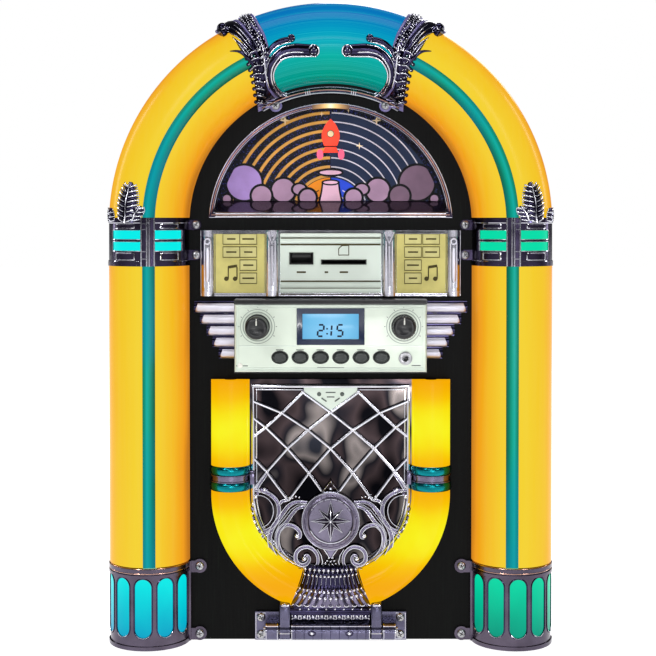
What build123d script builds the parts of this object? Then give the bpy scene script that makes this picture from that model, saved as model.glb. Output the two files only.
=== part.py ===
from build123d import *
import os
from math import acos, cos, degrees, pi, radians, sin, sqrt, tan

# A table-top jukebox with an arched, lit front, a CD well behind a drop-down grille door,
# a selector strip with memory sockets and a small radio control unit.
# Millimetres. +Z is up and the front faces -Y. The origin is under the middle of the base.

# ---- cabinet ----
HALF_WIDTH = 124.8        # outer face of the side walls
ARCH_Z = 240.3            # height of the arch's centre
PANEL_Y = -60.0           # front face of the front panel
PANEL_THICK = 6.0
SHELL_WALL = 4.0
REAR_Y = 90.0             # rear edge of the shell
COVER_THICK = 3.0
BASE_Z = 1.2              # underside of the base, on its rubber feet
FLOOR_THICK = 6.0
FIT = 0.2                 # gap between boards that slide together

# ---- lit tubes along the edge ----
TUBE_R = 23.0             # outer radius of the half-round lens
TUBE_X = 104.2            # distance from the middle to a tube's centre line
LENS_WALL = 2.2
SKIRT = 11.0              # how far the lens reaches back over the side wall
STRIPE_HALF = 8.8         # half of the stripe's width, in degrees round the tube
STRIPE_DEEP = 1.2
STRIPE_PROUD = 0.3
TOP_ANGLE = 21.0          # half of the blue top segment, in degrees from the vertical

# ---- bands and base caps ----
BAND_Z = (217.3, 244.6)
BAND_R = 22.9
BAND_WALL = 2.2
BAND_SLOTS_Z = ((226.0, 231.0), (232.5, 237.5))
BAND_SLOTS_DEG = ((35.0, 85.0), (105.0, 149.0))
CAP_TOP = 47.0
CAP_R = 22.6
CAP_WALL = 2.0
CAP_SLOT = (33.0, 9.4)
CAP_SLOT_Z = 24.8
CAP_SLOTS_DEG = (21.0, 54.0, 87.0, 120.0, 153.0)
GLOW_WALL = 1.8
PLUG_GAP = 0.15

# ---- dome window ----
DOME_R = 70.8
DOME_FLOOR = 244.4
BEZEL_WIDE = 2.6
BEZEL_BAR = 3.5
TRAY_DEEP = 18.0

# ---- selector strip ----
SELECT_HALF = 74.2
SELECT_Z = (199.7, 237.4)
PILASTER_X = (33.5, 70.3)
PILASTER_R = 4.2
MEDIA_HALF = 29.0
USB = (-23.7, -9.8, 217.7, 224.7)
CARD = (-5.5, 20.6, 217.7, 220.6)

# ---- control unit ----
UNIT_HALF = 54.2
UNIT_Z = (157.2, 198.4)
UNIT_FRONT = -78.5
FASCIA_Y = (-80.2, -78.0)
FASCIA_HALF = 53.85
FASCIA_Z = (158.0, 196.0)
KNOB_X = 41.0
KNOB_Z = 183.5
KNOB_R = 6.95
KNOB_LEFT_NOSE = -95.0
KNOB_RIGHT_NOSE = -89.6
SHAFT_R = 3.0
RUNNING = 0.06            # radial clearance of a shaft in its bore
BUTTON_PITCH = 11.4
BUTTON_Z = 166.2
BUTTON_SIZE = (7.6, 5.5)
BUTTON_COUNT = 6
JACK = (42.0, 165.6)
JACK_BORE = 1.8
DISPLAY_HALF = 18.2
DISPLAY_Z = (174.0, 193.0)
BOARD_Y = (-72.0, -70.4)

# ---- side wings ----
WING_ENDS = (78.3, 74.8, 71.0, 67.7, 64.1)
WING_TOP = 196.2
WING_PITCH = 6.6
WING_RIB = 2.8

# ---- door ----
DOOR_Z = 86.5             # centre of the U and of the disc
DOOR_TUBE_X = 57.5
DOOR_TUBE_R = 11.0
DOOR_TOP = 152.0
DOOR_Y = (-63.3, -60.3)
DOOR_TUBE_END = 20.0      # degrees from straight down
GRILLE_HALF = 45.5
GRILLE_TOP = 149.2
HINGE_Y = -71.0
HINGE_Z = 9.0
PIN_R = 1.5
KNUCKLE_R = 4.8

# ---- disc player ----
WELL_R = 62.3
WELL_WALL = 1.7
WELL_FLOOR_Y = -41.0
DISC_Y = -50.0
SLED_Y = (-38.9, -31.9)
ROD_Y = -35.4
ROD_R = 1.5
ROD_Z = (80.4, 92.6)
GEAR_MODULE = 1.0
GEAR_TEETH = 10
GEAR_X = 53.3
RACK_PITCH_Z = 75.4
GEAR_Y = (-37.4, -33.4)
DECK_Y = (-30.4, -29.0)


def box(x0, x1, y0, y1, z0, z1):
    """Box between two corners."""
    return Pos((x0 + x1) / 2, (y0 + y1) / 2, (z0 + z1) / 2) * Box(x1 - x0, y1 - y0, z1 - z0)


def rod_y(x, z, r, y0, y1):
    """Cylinder along Y."""
    return Pos(x, (y0 + y1) / 2, z) * Rot(90, 0, 0) * Cylinder(r, y1 - y0)


def rod_x(y, z, r, x0, x1):
    """Cylinder along X."""
    return Pos((x0 + x1) / 2, y, z) * Rot(0, 90, 0) * Cylinder(r, x1 - x0)


def rod_z(x, y, r, z0, z1):
    """Cylinder along Z."""
    return Pos(x, y, (z0 + z1) / 2) * Cylinder(r, z1 - z0)


def front_plate(sketch, y0, y1):
    """Solid from a sketch drawn as seen from the front, between two depths."""
    plane = Plane(origin=(0, y1, 0), x_dir=(1, 0, 0), z_dir=(0, -1, 0))
    return extrude(plane * sketch, y1 - y0)


def both(solid):
    """The solid and its mirror image, left and right."""
    return solid + mirror(solid, about=Plane.YZ)


def polygon(points):
    """Flat face with straight sides."""
    return make_face(Polyline(*points, close=True))


def arched(half, low):
    """Cabinet outline: straight sides under a half circle."""
    side = Pos(0, (low + ARCH_Z) / 2) * Rectangle(2 * half, ARCH_Z - low)
    return side + Pos(0, ARCH_Z) * Circle(half)


def ring_sector(r_in, r_out, start, end):
    """Part of a flat ring. 0 degrees points outward and 90 degrees forward."""
    outer = CenterArc((0, 0), r_out, start, end - start)
    inner = CenterArc((0, 0), r_in, start, end - start)
    return make_face(outer + Line(outer @ 1, inner @ 1) + inner + Line(inner @ 0, outer @ 0))


def half_disc(r):
    """Flat half disc on the forward side."""
    return Circle(r) & Pos(0, r) * Rectangle(3 * r, 2 * r)


def tube_plane(z):
    """Section plane of the right-hand tube: x outward, y forward, facing down."""
    return Plane(origin=(TUBE_X, PANEL_Y, z), x_dir=(1, 0, 0), z_dir=(0, 0, -1))


def upright(section, z0, z1):
    """Section of the right-hand tube run straight up from z0 to z1."""
    return extrude(tube_plane(z1) * section, z1 - z0)


def round_arch(section, start, end):
    """Section of the right-hand tube run round the arch, in degrees up from the horizontal."""
    axis = Axis((0, 0, ARCH_Z), (0, -1, 0))
    turned = revolve(tube_plane(ARCH_Z) * section, axis, revolution_arc=end - start)
    return turned.rotate(axis, start)


def lens_section(grooved):
    """Half-round lens with a skirt over the side wall, and a groove for the stripe."""
    section = ring_sector(TUBE_R - LENS_WALL, TUBE_R, 0, 180)
    section += Pos(TUBE_R - LENS_WALL / 2, -SKIRT / 2) * Rectangle(LENS_WALL, SKIRT)
    if grooved:
        groove = ring_sector(TUBE_R - STRIPE_DEEP, TUBE_R + 1, 90 - STRIPE_HALF, 90 + STRIPE_HALF)
        section -= groove
    return section


def stripe_section():
    """Coloured strip that lies in the lens's groove, slightly proud."""
    return ring_sector(TUBE_R - STRIPE_DEEP, TUBE_R + STRIPE_PROUD, 90 - STRIPE_HALF, 90 + STRIPE_HALF)


# ---- fasteners ----
SCREW_HEAD_R = 2.4
SCREW_HEAD = 1.4
SCREW_R = 1.15
SCREW_HOLE_R = 1.25
TAB_THICK = 1.6
SCREW_DEEP = 3.0
CAP_TABS = ((75.4, 44.0), (75.4, 5.0))
BAND_TABS = ((77.2, 240.5), (77.2, 223.2))
RAIL_TABS = ((31.4, 308.8),)
HINGE_TABS = ((40.0, 4.8), (40.0, 14.6))
BLOCK_TABS = ((10.6, 15.6),)
BACK_SCREWS = ((112.0, 16.0), (112.0, 125.0), (112.0, 235.0), (60.0, 336.0), (60.0, 4.2))


def drill(solid, places, y0, y1):
    """Clearance holes for screws along Y, left and right."""
    for x, z in places:
        solid -= rod_y(x, z, SCREW_HOLE_R, y0, y1)
        solid -= rod_y(-x, z, SCREW_HOLE_R, y0, y1)
    return solid


def screws(places, seat, tip, outward):
    """Pan-head screws left and right: seat is under the head, outward is -1 to the front."""
    group = []
    for x, z in places:
        for side in (-1, 1):
            head_end = seat + outward * SCREW_HEAD
            head = rod_y(side * x, z, SCREW_HEAD_R, min(seat, head_end), max(seat, head_end))
            shank = rod_y(side * x, z, SCREW_R, min(seat, tip), max(seat, tip))
            slot = box(side * x - 1.6, side * x + 1.6, head_end - 0.5, head_end + 0.5, z - 0.35, z + 0.35)
            group.append(head + shank - slot)
    return group


# ---- cabinet boards ----
SPEAKER = (20.0, 125.0, 38.0)     # y, z and radius of each side speaker
GRILLE_SLOTS = 7


def cabinet_shell():
    """Bent wrap: both sides and the arched top in one piece, with slotted speaker grilles."""
    shell = arched(HALF_WIDTH, BASE_Z) - arched(HALF_WIDTH - SHELL_WALL, BASE_Z - 1)
    shell = front_plate(shell, PANEL_Y, REAR_Y)
    y, z, r = SPEAKER
    for i in range(GRILLE_SLOTS):
        offset = (i - (GRILLE_SLOTS - 1) / 2) * 9.6
        half = sqrt((r - 3) ** 2 - offset ** 2)
        shell -= box(-HALF_WIDTH - 1, HALF_WIDTH + 1, y - half, y + half, z + offset - 2, z + offset + 2)
    for block in back_blocks():
        shell += block
    return shell


def bottom_board():
    inner = HALF_WIDTH - SHELL_WALL - FIT
    return box(-inner, inner, PANEL_Y + PANEL_THICK, REAR_Y, BASE_Z, BASE_Z + FLOOR_THICK)


def front_panel():
    """Front board with openings for the window, sockets, control unit and disc well."""
    panel = front_plate(arched(HALF_WIDTH - SHELL_WALL - FIT, BASE_Z), PANEL_Y, PANEL_Y + PANEL_THICK)
    back = PANEL_Y + PANEL_THICK + 1
    panel -= front_plate(dome_face(DOME_R - 1.2, DOME_FLOOR + 1.2), PANEL_Y - 1, back)
    panel -= box(-26, 23, PANEL_Y - 1, back, 213, 229)
    panel -= box(-50, 50, PANEL_Y - 1, back, 161, 192)
    panel -= rod_y(0, DOOR_Z, WELL_R + WELL_WALL + FIT, PANEL_Y - 1, back)
    tabs = CAP_TABS + BAND_TABS + RAIL_TABS + HINGE_TABS + BLOCK_TABS
    return drill(panel, tabs, PANEL_Y - 1, PANEL_Y + SCREW_DEEP + 0.4)


INLET = (-70.0, 40.0)
ROCKER = (-30.0, 40.0)
LINE_JACK = (20.0, 40.0)


def back_cover():
    """Rear board with vents and the openings for inlet, switch and line socket."""
    y0, y1 = REAR_Y, REAR_Y + COVER_THICK
    cover = front_plate(arched(HALF_WIDTH, BASE_Z), y0, y1)
    for row in range(5):
        for side in (-1, 1):
            cover -= box(side * 40 - 24, side * 40 + 24, y0 - 1, y1 + 1, 200 + 9 * row, 203 + 9 * row)
    cover -= box(INLET[0] - 12, INLET[0] + 12, y0 - 1, y1 + 1, INLET[1] - 8, INLET[1] + 8)
    cover -= box(ROCKER[0] - 8, ROCKER[0] + 8, y0 - 1, y1 + 1, ROCKER[1] - 10, ROCKER[1] + 10)
    cover -= rod_y(LINE_JACK[0], LINE_JACK[1], 3.2, y0 - 1, y1 + 1)
    return drill(cover, BACK_SCREWS, y0 - 1, y1 + 1)


def back_blocks():
    """Blocks along the shell's rear edge, which the rear screws bite into."""
    blocks = []
    for x, z in BACK_SCREWS[:3]:
        edge = HALF_WIDTH - SHELL_WALL
        for side in (-1, 1):
            low, high = sorted((side * (x - 8), side * edge))
            blocks.append(box(low, high, REAR_Y - 12, REAR_Y, z - 8, z + 8))
    x, z = BACK_SCREWS[3]
    for side in (-1, 1):
        round_block = Pos(side * x, z) * Circle(9) & Pos(0, ARCH_Z) * Circle(HALF_WIDTH - SHELL_WALL)
        blocks.append(front_plate(round_block, REAR_Y - 12, REAR_Y))
    return blocks


def rubber_feet():
    """Four feet, and two bumpers that keep the rear vents off a wall."""
    feet = [rod_z(sx * 95, y, 9, 0, BASE_Z) for sx in (-1, 1) for y in (-40, 78)]
    rear = REAR_Y + COVER_THICK
    bumpers = [rod_y(sx * 95, 170, 7, rear, rear + 2) for sx in (-1, 1)]
    return feet + bumpers


# ---- lit tubes, bands and base caps ----
def above_band(solid):
    """The stretch of an arch tube that rises above the band."""
    return solid - box(0, 2 * TUBE_X, PANEL_Y - 40, PANEL_Y + 40, ARCH_Z - 10, BAND_Z[1])


def arch_lens():
    return above_band(round_arch(lens_section(True), 0, 90 - TOP_ANGLE - 0.1))


def arch_lens_top():
    half = round_arch(lens_section(False), 90 - TOP_ANGLE, 90)
    return half + mirror(half, about=Plane.YZ)


def column_lens():
    return upright(lens_section(True), CAP_TOP, BAND_Z[0])


def lens_stripes():
    arch = above_band(round_arch(stripe_section(), 0, 90 - TOP_ANGLE - 0.1))
    column = upright(stripe_section(), CAP_TOP, BAND_Z[0])
    return [arch, column, mirror(arch, about=Plane.YZ), mirror(column, about=Plane.YZ)]


def screw_tab(x, z):
    """Small eared plate on the panel that joins a tube fitting to its screw."""
    ear = rod_y(x, z, 2.9, PANEL_Y - TAB_THICK, PANEL_Y)
    return ear + box(x, TUBE_X - TUBE_R + 1, PANEL_Y - TAB_THICK, PANEL_Y, z - 2.9, z + 2.9)


def column_band():
    """Chrome band over the joint of column and arch, with two lit slots each side of a post."""
    section = ring_sector(BAND_R - BAND_WALL, BAND_R, 0, 180)
    section += Pos(BAND_R - BAND_WALL / 2 + 0.15, -SKIRT / 2) * Rectangle(BAND_WALL - 0.3, SKIRT)
    band = upright(section, *BAND_Z)
    for low, high in ((217.3, 220.0), (241.9, 244.6)):
        band += upright(ring_sector(BAND_R - 1, BAND_R + 0.5, 0, 180), low, high)
    band += upright(ring_sector(BAND_R - 1, BAND_R + 0.8, 86, 94), *BAND_Z)
    band += upright(ring_sector(BAND_R - 1, BAND_R + 0.8, 97, 104), *BAND_Z)
    for z0, z1 in BAND_SLOTS_Z:
        for start, end in BAND_SLOTS_DEG:
            band -= upright(ring_sector(BAND_R - BAND_WALL - 1, BAND_R + 2, start, end), z0, z1)
    for x, z in BAND_TABS:
        band += screw_tab(x, z) - upright(half_disc(BAND_R - 1), z - 9, z + 9)
    return drill(band, BAND_TABS, PANEL_Y - 3, PANEL_Y + 1)


def band_glow():
    """Translucent sleeve inside a band, with a raised bar in each slot."""
    r_in = BAND_R - BAND_WALL - GLOW_WALL
    glow = upright(ring_sector(r_in, BAND_R - BAND_WALL - 0.05, 8, 172), BAND_Z[0] + 1, BAND_Z[1] - 1)
    gap_deg = degrees(PLUG_GAP / BAND_R)
    for z0, z1 in BAND_SLOTS_Z:
        for start, end in BAND_SLOTS_DEG:
            bar = ring_sector(r_in, BAND_R - 0.2, start + gap_deg, end - gap_deg)
            glow += upright(bar, z0 + PLUG_GAP, z1 - PLUG_GAP)
    return glow


def cap_slot(angle, grow, r0, r1):
    """Upright stadium block pointing out of a base cap at one angle."""
    out = (cos(radians(angle)), -sin(radians(angle)), 0)
    across = (sin(radians(angle)), cos(radians(angle)), 0)
    plane = Plane(origin=(TUBE_X + r0 * out[0], PANEL_Y + r0 * out[1], CAP_SLOT_Z), x_dir=across, z_dir=out)
    return extrude(plane * SlotOverall(CAP_SLOT[0] + 2 * grow, CAP_SLOT[1] + 2 * grow, rotation=90), r1 - r0)


def base_cap():
    """Chrome foot of a column with lit slots, a double rim, a side flange and screw tabs."""
    section = ring_sector(CAP_R - CAP_WALL, CAP_R, 0, 180)
    section += Pos(CAP_R - CAP_WALL / 2 + 0.15, -SKIRT / 2) * Rectangle(CAP_WALL - 0.3, SKIRT)
    cap = upright(section, BASE_Z, CAP_TOP)
    cap += upright(half_disc(CAP_R - 1), BASE_Z, BASE_Z + 1.5)
    for low, high in ((1.2, 3.4), (41.9, 43.6), (44.9, 47.0)):
        cap += upright(ring_sector(CAP_R - 1, CAP_R + 0.8, 0, 180), low, high)
    for angle in CAP_SLOTS_DEG:
        cap -= cap_slot(angle, 0, CAP_R - 6, CAP_R + 4)
    flange_x = TUBE_X - CAP_R
    cap += box(flange_x - 1.2, flange_x + 0.6, PANEL_Y - 3.0, PANEL_Y, BASE_Z, CAP_TOP)
    for x, z in CAP_TABS:
        tab = rod_y(x, z, 4.0, PANEL_Y - TAB_THICK, PANEL_Y)
        cap += tab + box(x, flange_x, PANEL_Y - TAB_THICK, PANEL_Y, z - 3.7, z + 3.0)
    return drill(cap, CAP_TABS, PANEL_Y - 4, PANEL_Y + 1)


def cap_glow():
    """Translucent sleeve inside a base cap, with a raised pad in each slot."""
    r_out = CAP_R - CAP_WALL - 0.05
    glow = upright(ring_sector(r_out - GLOW_WALL, r_out, 2, 178), BASE_Z + 2, CAP_TOP - 1)
    for angle in CAP_SLOTS_DEG:
        pad = cap_slot(angle, -PLUG_GAP, CAP_R - 6, CAP_R + 4)
        glow += pad & upright(ring_sector(r_out - GLOW_WALL, CAP_R - 0.25, 1, 178), BASE_Z, CAP_TOP)
    return glow


def accent_lenses():
    parts = [band_glow(), cap_glow()]
    return parts + [mirror(p, about=Plane.YZ) for p in parts]


def light_strips():
    """LED strip on the panel behind each lens, in one arched run."""
    half = 4.0
    arch = Pos(0, ARCH_Z) * (Circle(TUBE_X + half) - Circle(TUBE_X - half))
    arch &= Pos(0, ARCH_Z + TUBE_X) * Rectangle(4 * TUBE_X, 2 * TUBE_X)
    for side in (-1, 1):
        arch += Pos(side * TUBE_X, (ARCH_Z + 10) / 2) * Rectangle(2 * half, ARCH_Z - 10)
    return front_plate(arch, PANEL_Y - 1.2, PANEL_Y)


# ---- crest ornament ----
CREST_GAP = 0.45
CREST_THICK = 2.4
CREST_OUTLINE = (
    (-38, 306), (-46, 308), (-49, 316), (-49, 334), (-59, 337), (-67, 350), (-64, 356), (-58, 360),
    (-50, 362), (-44, 361), (-40, 345), (-33, 338), (-26, 342), (-17, 344), (-7, 343), (-6, 338),
    (-17, 335), (-27, 333.5), (-31, 329), (-30, 323), (-24, 315), (-27, 312), (-34, 313),
)
RAIL_R = (75.5, 79.6)


def crest_ornament():
    """Scrolled trim over each end of the blue segment, and the rail that joins their feet."""
    shell_section = ring_sector(TUBE_R + CREST_GAP, TUBE_R + CREST_GAP + CREST_THICK, 6, 180)
    shell = round_arch(shell_section, 55, 89)
    wing = mirror(shell, about=Plane.YZ) & front_plate(polygon(CREST_OUTLINE), PANEL_Y - 40, PANEL_Y + 4)
    rail = Pos(0, ARCH_Z) * (Circle(RAIL_R[1]) - Circle(RAIL_R[0]))
    half = 28.5
    rail &= Pos(0, ARCH_Z + DOME_R) * Rectangle(2 * half, 2 * DOME_R)
    rail = front_plate(rail, PANEL_Y - 3.4, PANEL_Y)
    for x, z in RAIL_TABS:
        for side in (-1, 1):
            ear = rod_y(side * x, z, 4.2, PANEL_Y - TAB_THICK, PANEL_Y)
            foot = box(*sorted((side * (half - 4), side * x)), PANEL_Y - TAB_THICK, PANEL_Y, z - 0.5, z + 3.0)
            rail += ear + foot
    rail = drill(rail, RAIL_TABS, PANEL_Y - 5, PANEL_Y + 1)
    return both(wing) + rail


# ---- dome window ----
def dome_face(r, low):
    """Window outline: a half circle cut off level, with rounded bottom corners."""
    face = Pos(0, ARCH_Z) * Circle(r)
    face &= Pos(0, low + r) * Rectangle(3 * r, 2 * r)
    corners = face.vertices().filter_by(lambda v: abs(v.Y - low) < 0.1)
    return fillet(corners, 5.0)


def dome_bezel():
    ring = dome_face(DOME_R, DOME_FLOOR) - dome_face(DOME_R - BEZEL_WIDE, DOME_FLOOR + BEZEL_BAR)
    return front_plate(ring, PANEL_Y - 2.5, PANEL_Y)


def dome_window():
    return front_plate(dome_face(DOME_R - 1.4, DOME_FLOOR + 1.4), PANEL_Y, PANEL_Y + 1.5)


def dome_tray():
    """Open-fronted tray that holds the picture board behind the window."""
    y0 = PANEL_Y + 1.5
    y1 = PANEL_Y + TRAY_DEEP
    outer = front_plate(dome_face(DOME_R - 1.4, DOME_FLOOR + 1.4), y0, y1)
    return outer - front_plate(dome_face(DOME_R - 3.0, DOME_FLOOR + 3.0), y0 - 1, y1 - 1.5)


def art_board():
    y1 = PANEL_Y + TRAY_DEEP - 1.5
    return front_plate(dome_face(DOME_R - 3.2, DOME_FLOOR + 3.2), y1 - 2.0, y1)


# ---- selector strip ----
SELECT_Y = PANEL_Y - 1.6


def selector_frame():
    """Backing plate with four half-round pilasters and two rails."""
    z0, z1 = SELECT_Z
    frame = box(-SELECT_HALF, SELECT_HALF, SELECT_Y, PANEL_Y, z0, z1)
    for x in (-PILASTER_X[1], -PILASTER_X[0], PILASTER_X[0], PILASTER_X[1]):
        column = rod_z(x, SELECT_Y, PILASTER_R, z0, z1)
        frame += column & box(x - 5, x + 5, SELECT_Y - 6, SELECT_Y, z0, z1)
    for low, high in ((z0, z0 + 1.6), (z1 - 2.0, z1)):
        frame += box(-SELECT_HALF, SELECT_HALF, SELECT_Y - 2.0, SELECT_Y, low, high)
    frame -= box(USB[0], USB[1], SELECT_Y - 1, PANEL_Y + 1, USB[2], USB[3])
    return frame - box(CARD[0], CARD[1], SELECT_Y - 1, PANEL_Y + 1, CARD[2], CARD[3])


def title_cards():
    """Printed title strips between the pilasters."""
    cards = []
    for side in (-1, 1):
        inner = side * (PILASTER_X[0] + PILASTER_R + 0.1)
        outer = side * (PILASTER_X[1] - PILASTER_R - 0.1)
        low, high = sorted((inner, outer))
        cards.append(box(low, high, SELECT_Y - 0.8, SELECT_Y, SELECT_Z[0] + 1.7, SELECT_Z[1] - 2.1))
    return cards


def media_plate():
    """Silver plate between the inner pilasters with the two socket openings."""
    z0, z1 = SELECT_Z[0] + 1.7, SELECT_Z[1] - 2.1
    plate = box(-MEDIA_HALF, MEDIA_HALF, SELECT_Y - 1.5, SELECT_Y, z0, z1)
    for low, high in ((z0, z0 + 1.2), (z0 + 2.4, z0 + 3.6), (z1 - 1.2, z1), (z1 - 3.6, z1 - 2.4)):
        plate += box(-MEDIA_HALF, MEDIA_HALF, SELECT_Y - 2.2, SELECT_Y - 1.4, low, high)
    plate -= box(USB[0], USB[1], SELECT_Y - 3, PANEL_Y, USB[2], USB[3])
    return plate - box(CARD[0], CARD[1], SELECT_Y - 3, PANEL_Y, CARD[2], CARD[3])


def media_sockets():
    """USB and memory card sockets on their small board."""
    y0 = SELECT_Y - 1.0
    y1 = PANEL_Y + PANEL_THICK + 6
    gap = 0.1
    usb = box(USB[0] + gap, USB[1] - gap, y0, y1, USB[2] + gap, USB[3] - gap)
    usb -= box(USB[0] + 0.7, USB[1] - 0.7, y0 - 1, y1 - 1, USB[2] + 0.7, USB[3] - 0.7)
    usb += box(USB[0] + 1.6, USB[1] - 1.6, y0 + 1.5, y1, USB[3] - 2.9, USB[3] - 1.2)
    card = box(CARD[0] + gap, CARD[1] - gap, y0, y1, CARD[2] + gap, CARD[3] - gap)
    card -= box(CARD[0] + 0.6, CARD[1] - 0.6, y0 - 1, y1 - 1, CARD[2] + 0.45, CARD[3] - 0.45)
    board = box(-25.5, 22.5, y1, y1 + 1.6, 213.5, 228.5)
    return usb + card + board


# ---- control unit ----
BOARD_HALF = 50.0
BOARD_Z = (160.0, 193.6)
BOARD_RIGHT = 36.5


def control_housing():
    """Open-fronted box that carries the fascia, with a hood along its top."""
    z0, z1 = UNIT_Z
    housing = box(-UNIT_HALF, UNIT_HALF, UNIT_FRONT, PANEL_Y, z0, z1)
    housing += box(-UNIT_HALF, UNIT_HALF, FASCIA_Y[0] - 0.6, UNIT_FRONT, FASCIA_Z[1] + 0.15, z1)
    housing -= box(-UNIT_HALF + 2, UNIT_HALF - 2, UNIT_FRONT - 1, PANEL_Y + 1, z0 + 2, FASCIA_Z[1] - 1.6)
    rebate = box(-FASCIA_HALF, FASCIA_HALF, UNIT_FRONT - 3, FASCIA_Y[1], FASCIA_Z[0], FASCIA_Z[1])
    return housing - rebate


def button_x(index):
    return (index - (BUTTON_COUNT - 1) / 2) * BUTTON_PITCH


def control_fascia():
    """Front plate with the display window and holes for knobs, buttons and socket."""
    y0, y1 = FASCIA_Y
    fascia = box(-FASCIA_HALF, FASCIA_HALF, y0, y1, *FASCIA_Z)
    fascia = chamfer(fascia.faces().sort_by(Axis.Y)[0].edges(), 0.6)
    fascia -= box(-DISPLAY_HALF, DISPLAY_HALF, y0 - 1, y1 + 1, *DISPLAY_Z)
    for side in (-1, 1):
        fascia -= rod_y(side * KNOB_X, KNOB_Z, SHAFT_R + RUNNING, y0 - 1, y1 + 1)
    for index in range(BUTTON_COUNT):
        hole = Pos(button_x(index), BUTTON_Z) * Ellipse(BUTTON_SIZE[0] / 2 + 0.3, BUTTON_SIZE[1] / 2 + 0.3)
        fascia -= front_plate(hole, y0 - 1, y1 + 1)
    return fascia - rod_y(JACK[0], JACK[1], 2.95, y0 - 1, y1 + 1)


def lcd_module():
    z0, z1 = DISPLAY_Z
    return box(-DISPLAY_HALF + 0.1, DISPLAY_HALF - 0.1, FASCIA_Y[0] + 1.2, BOARD_Y[0], z0 + 0.1, z1 - 0.1)


def knob(side, nose, grips):
    """Round knob with finger grooves, on a shaft that turns in the fascia."""
    x = side * KNOB_X
    back = FASCIA_Y[0] - 0.4
    body = rod_y(x, KNOB_Z, KNOB_R, nose, back)
    body = chamfer(body.faces().sort_by(Axis.Y)[0].edges(), 0.8)
    for i in range(grips):
        angle = 2 * pi * i / grips
        groove_x = x + (KNOB_R + 0.3) * cos(angle)
        groove_z = KNOB_Z + (KNOB_R + 0.3) * sin(angle)
        body -= rod_y(groove_x, groove_z, 0.75, nose - 1, back + 1)
    body -= box(x - 0.5, x + 0.5, nose - 1, nose + 0.6, KNOB_Z + 1.5, KNOB_Z + KNOB_R + 1)
    return body + rod_y(x, KNOB_Z, SHAFT_R, back, BOARD_Y[0] - 1.0)


def button(index):
    """Oval key cap with a retaining flange behind the fascia."""
    place = Pos(button_x(index), BUTTON_Z)
    cap = front_plate(place * Ellipse(BUTTON_SIZE[0] / 2, BUTTON_SIZE[1] / 2), FASCIA_Y[0] - 1.6, -77.5)
    cap = chamfer(cap.faces().sort_by(Axis.Y)[0].edges(), 0.5)
    flange = front_plate(place * Ellipse(BUTTON_SIZE[0] / 2 + 0.9, BUTTON_SIZE[1] / 2 + 0.9), -77.5, -76.9)
    return cap + flange


def jack_socket(place, front, seat, back, outward):
    """Panel socket: threaded barrel with a ring nut and a blind bore."""
    x, z = place
    barrel = rod_y(x, z, 2.9, min(seat, back), max(seat, back))
    nut = rod_y(x, z, 3.3, min(front, seat), max(front, seat))
    deep = front - outward * 14.0
    return barrel + nut - rod_y(x, z, JACK_BORE, min(front + outward, deep), max(front + outward, deep))


def headphone_jack():
    front = FASCIA_Y[0] - 1.0
    body = box(JACK[0] - 3.5, JACK[0] + 3.5, -76.5, -66.0, JACK[1] - 3.5, JACK[1] + 3.5)
    socket = jack_socket(JACK, front, FASCIA_Y[0], -72.0, -1)
    return socket + (body - rod_y(JACK[0], JACK[1], JACK_BORE, front, front + 14.0))


def control_board():
    """Board behind the fascia with both pots and the key switches."""
    board = box(-BOARD_HALF, BOARD_HALF, BOARD_Y[0], BOARD_Y[1], *BOARD_Z)
    board -= box(BOARD_RIGHT, BOARD_HALF + 1, BOARD_Y[0] - 1, BOARD_Y[1] + 1, BOARD_Z[0] - 1, 171.0)
    for side in (-1, 1):
        x = side * KNOB_X
        pot = box(x - 5.5, x + 5.5, -77.0, BOARD_Y[0], KNOB_Z - 6, KNOB_Z + 6)
        board += pot
        board -= rod_y(x, KNOB_Z, SHAFT_R + RUNNING, -78, BOARD_Y[0] - 0.6)
    for index in range(BUTTON_COUNT):
        x = button_x(index)
        board += box(x - 3, x + 3, -75.5, BOARD_Y[0], BUTTON_Z - 3, BUTTON_Z + 3)
    return board


def wing_trim():
    """Stepped stack of half-round ribs beside the control unit."""
    start = UNIT_HALF + 0.3
    trim = None
    for row, end in enumerate(WING_ENDS):
        z = WING_TOP - WING_RIB - row * WING_PITCH
        rib = rod_x(PANEL_Y - 1.4, z, WING_RIB, start, end)
        rib &= box(start, end, PANEL_Y - 6, PANEL_Y - 1.4, z - 4, z + 4)
        rib += box(start, end, PANEL_Y - 1.4, PANEL_Y, z - WING_PITCH / 2, z + WING_PITCH / 2)
        trim = rib if trim is None else trim + rib
    return trim


# ---- door ----
def door_outline(half):
    """U outline of the door: straight sides down to a half circle."""
    side = Pos(0, (DOOR_TOP + DOOR_Z) / 2) * Rectangle(2 * half, DOOR_TOP - DOOR_Z)
    lower = Pos(0, DOOR_Z) * Circle(half) & Pos(0, DOOR_Z - half) * Rectangle(3 * half, 2 * half)
    return side + lower


def door_panel():
    """Dark backing plate of the door."""
    plate = front_plate(door_outline(DOOR_TUBE_X + DOOR_TUBE_R), *DOOR_Y)
    return plate - box(-80, 80, DOOR_Y[0] - 1, DOOR_Y[1] + 1, 0, 21.5)


def door_tube_plane(z):
    return Plane(origin=(DOOR_TUBE_X, DOOR_Y[0], z), x_dir=(1, 0, 0), z_dir=(0, 0, -1))


def door_bend(section, end):
    """Door tube section run round the bend, to an angle from straight down."""
    axis = Axis((0, 0, DOOR_Z), (0, 1, 0))
    return revolve(door_tube_plane(DOOR_Z) * section, axis, revolution_arc=90 - end)


def door_tube():
    """Right half of the lit U: a half-round shell down the side and round the bend."""
    wall = 1.6
    section = ring_sector(DOOR_TUBE_R - wall, DOOR_TUBE_R, 0, 180)
    tube = extrude(door_tube_plane(DOOR_TOP) * section, DOOR_TOP - DOOR_Z)
    lid = extrude(door_tube_plane(DOOR_TOP) * half_disc(DOOR_TUBE_R), wall)
    return tube + lid + door_bend(section, DOOR_TUBE_END)


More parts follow.
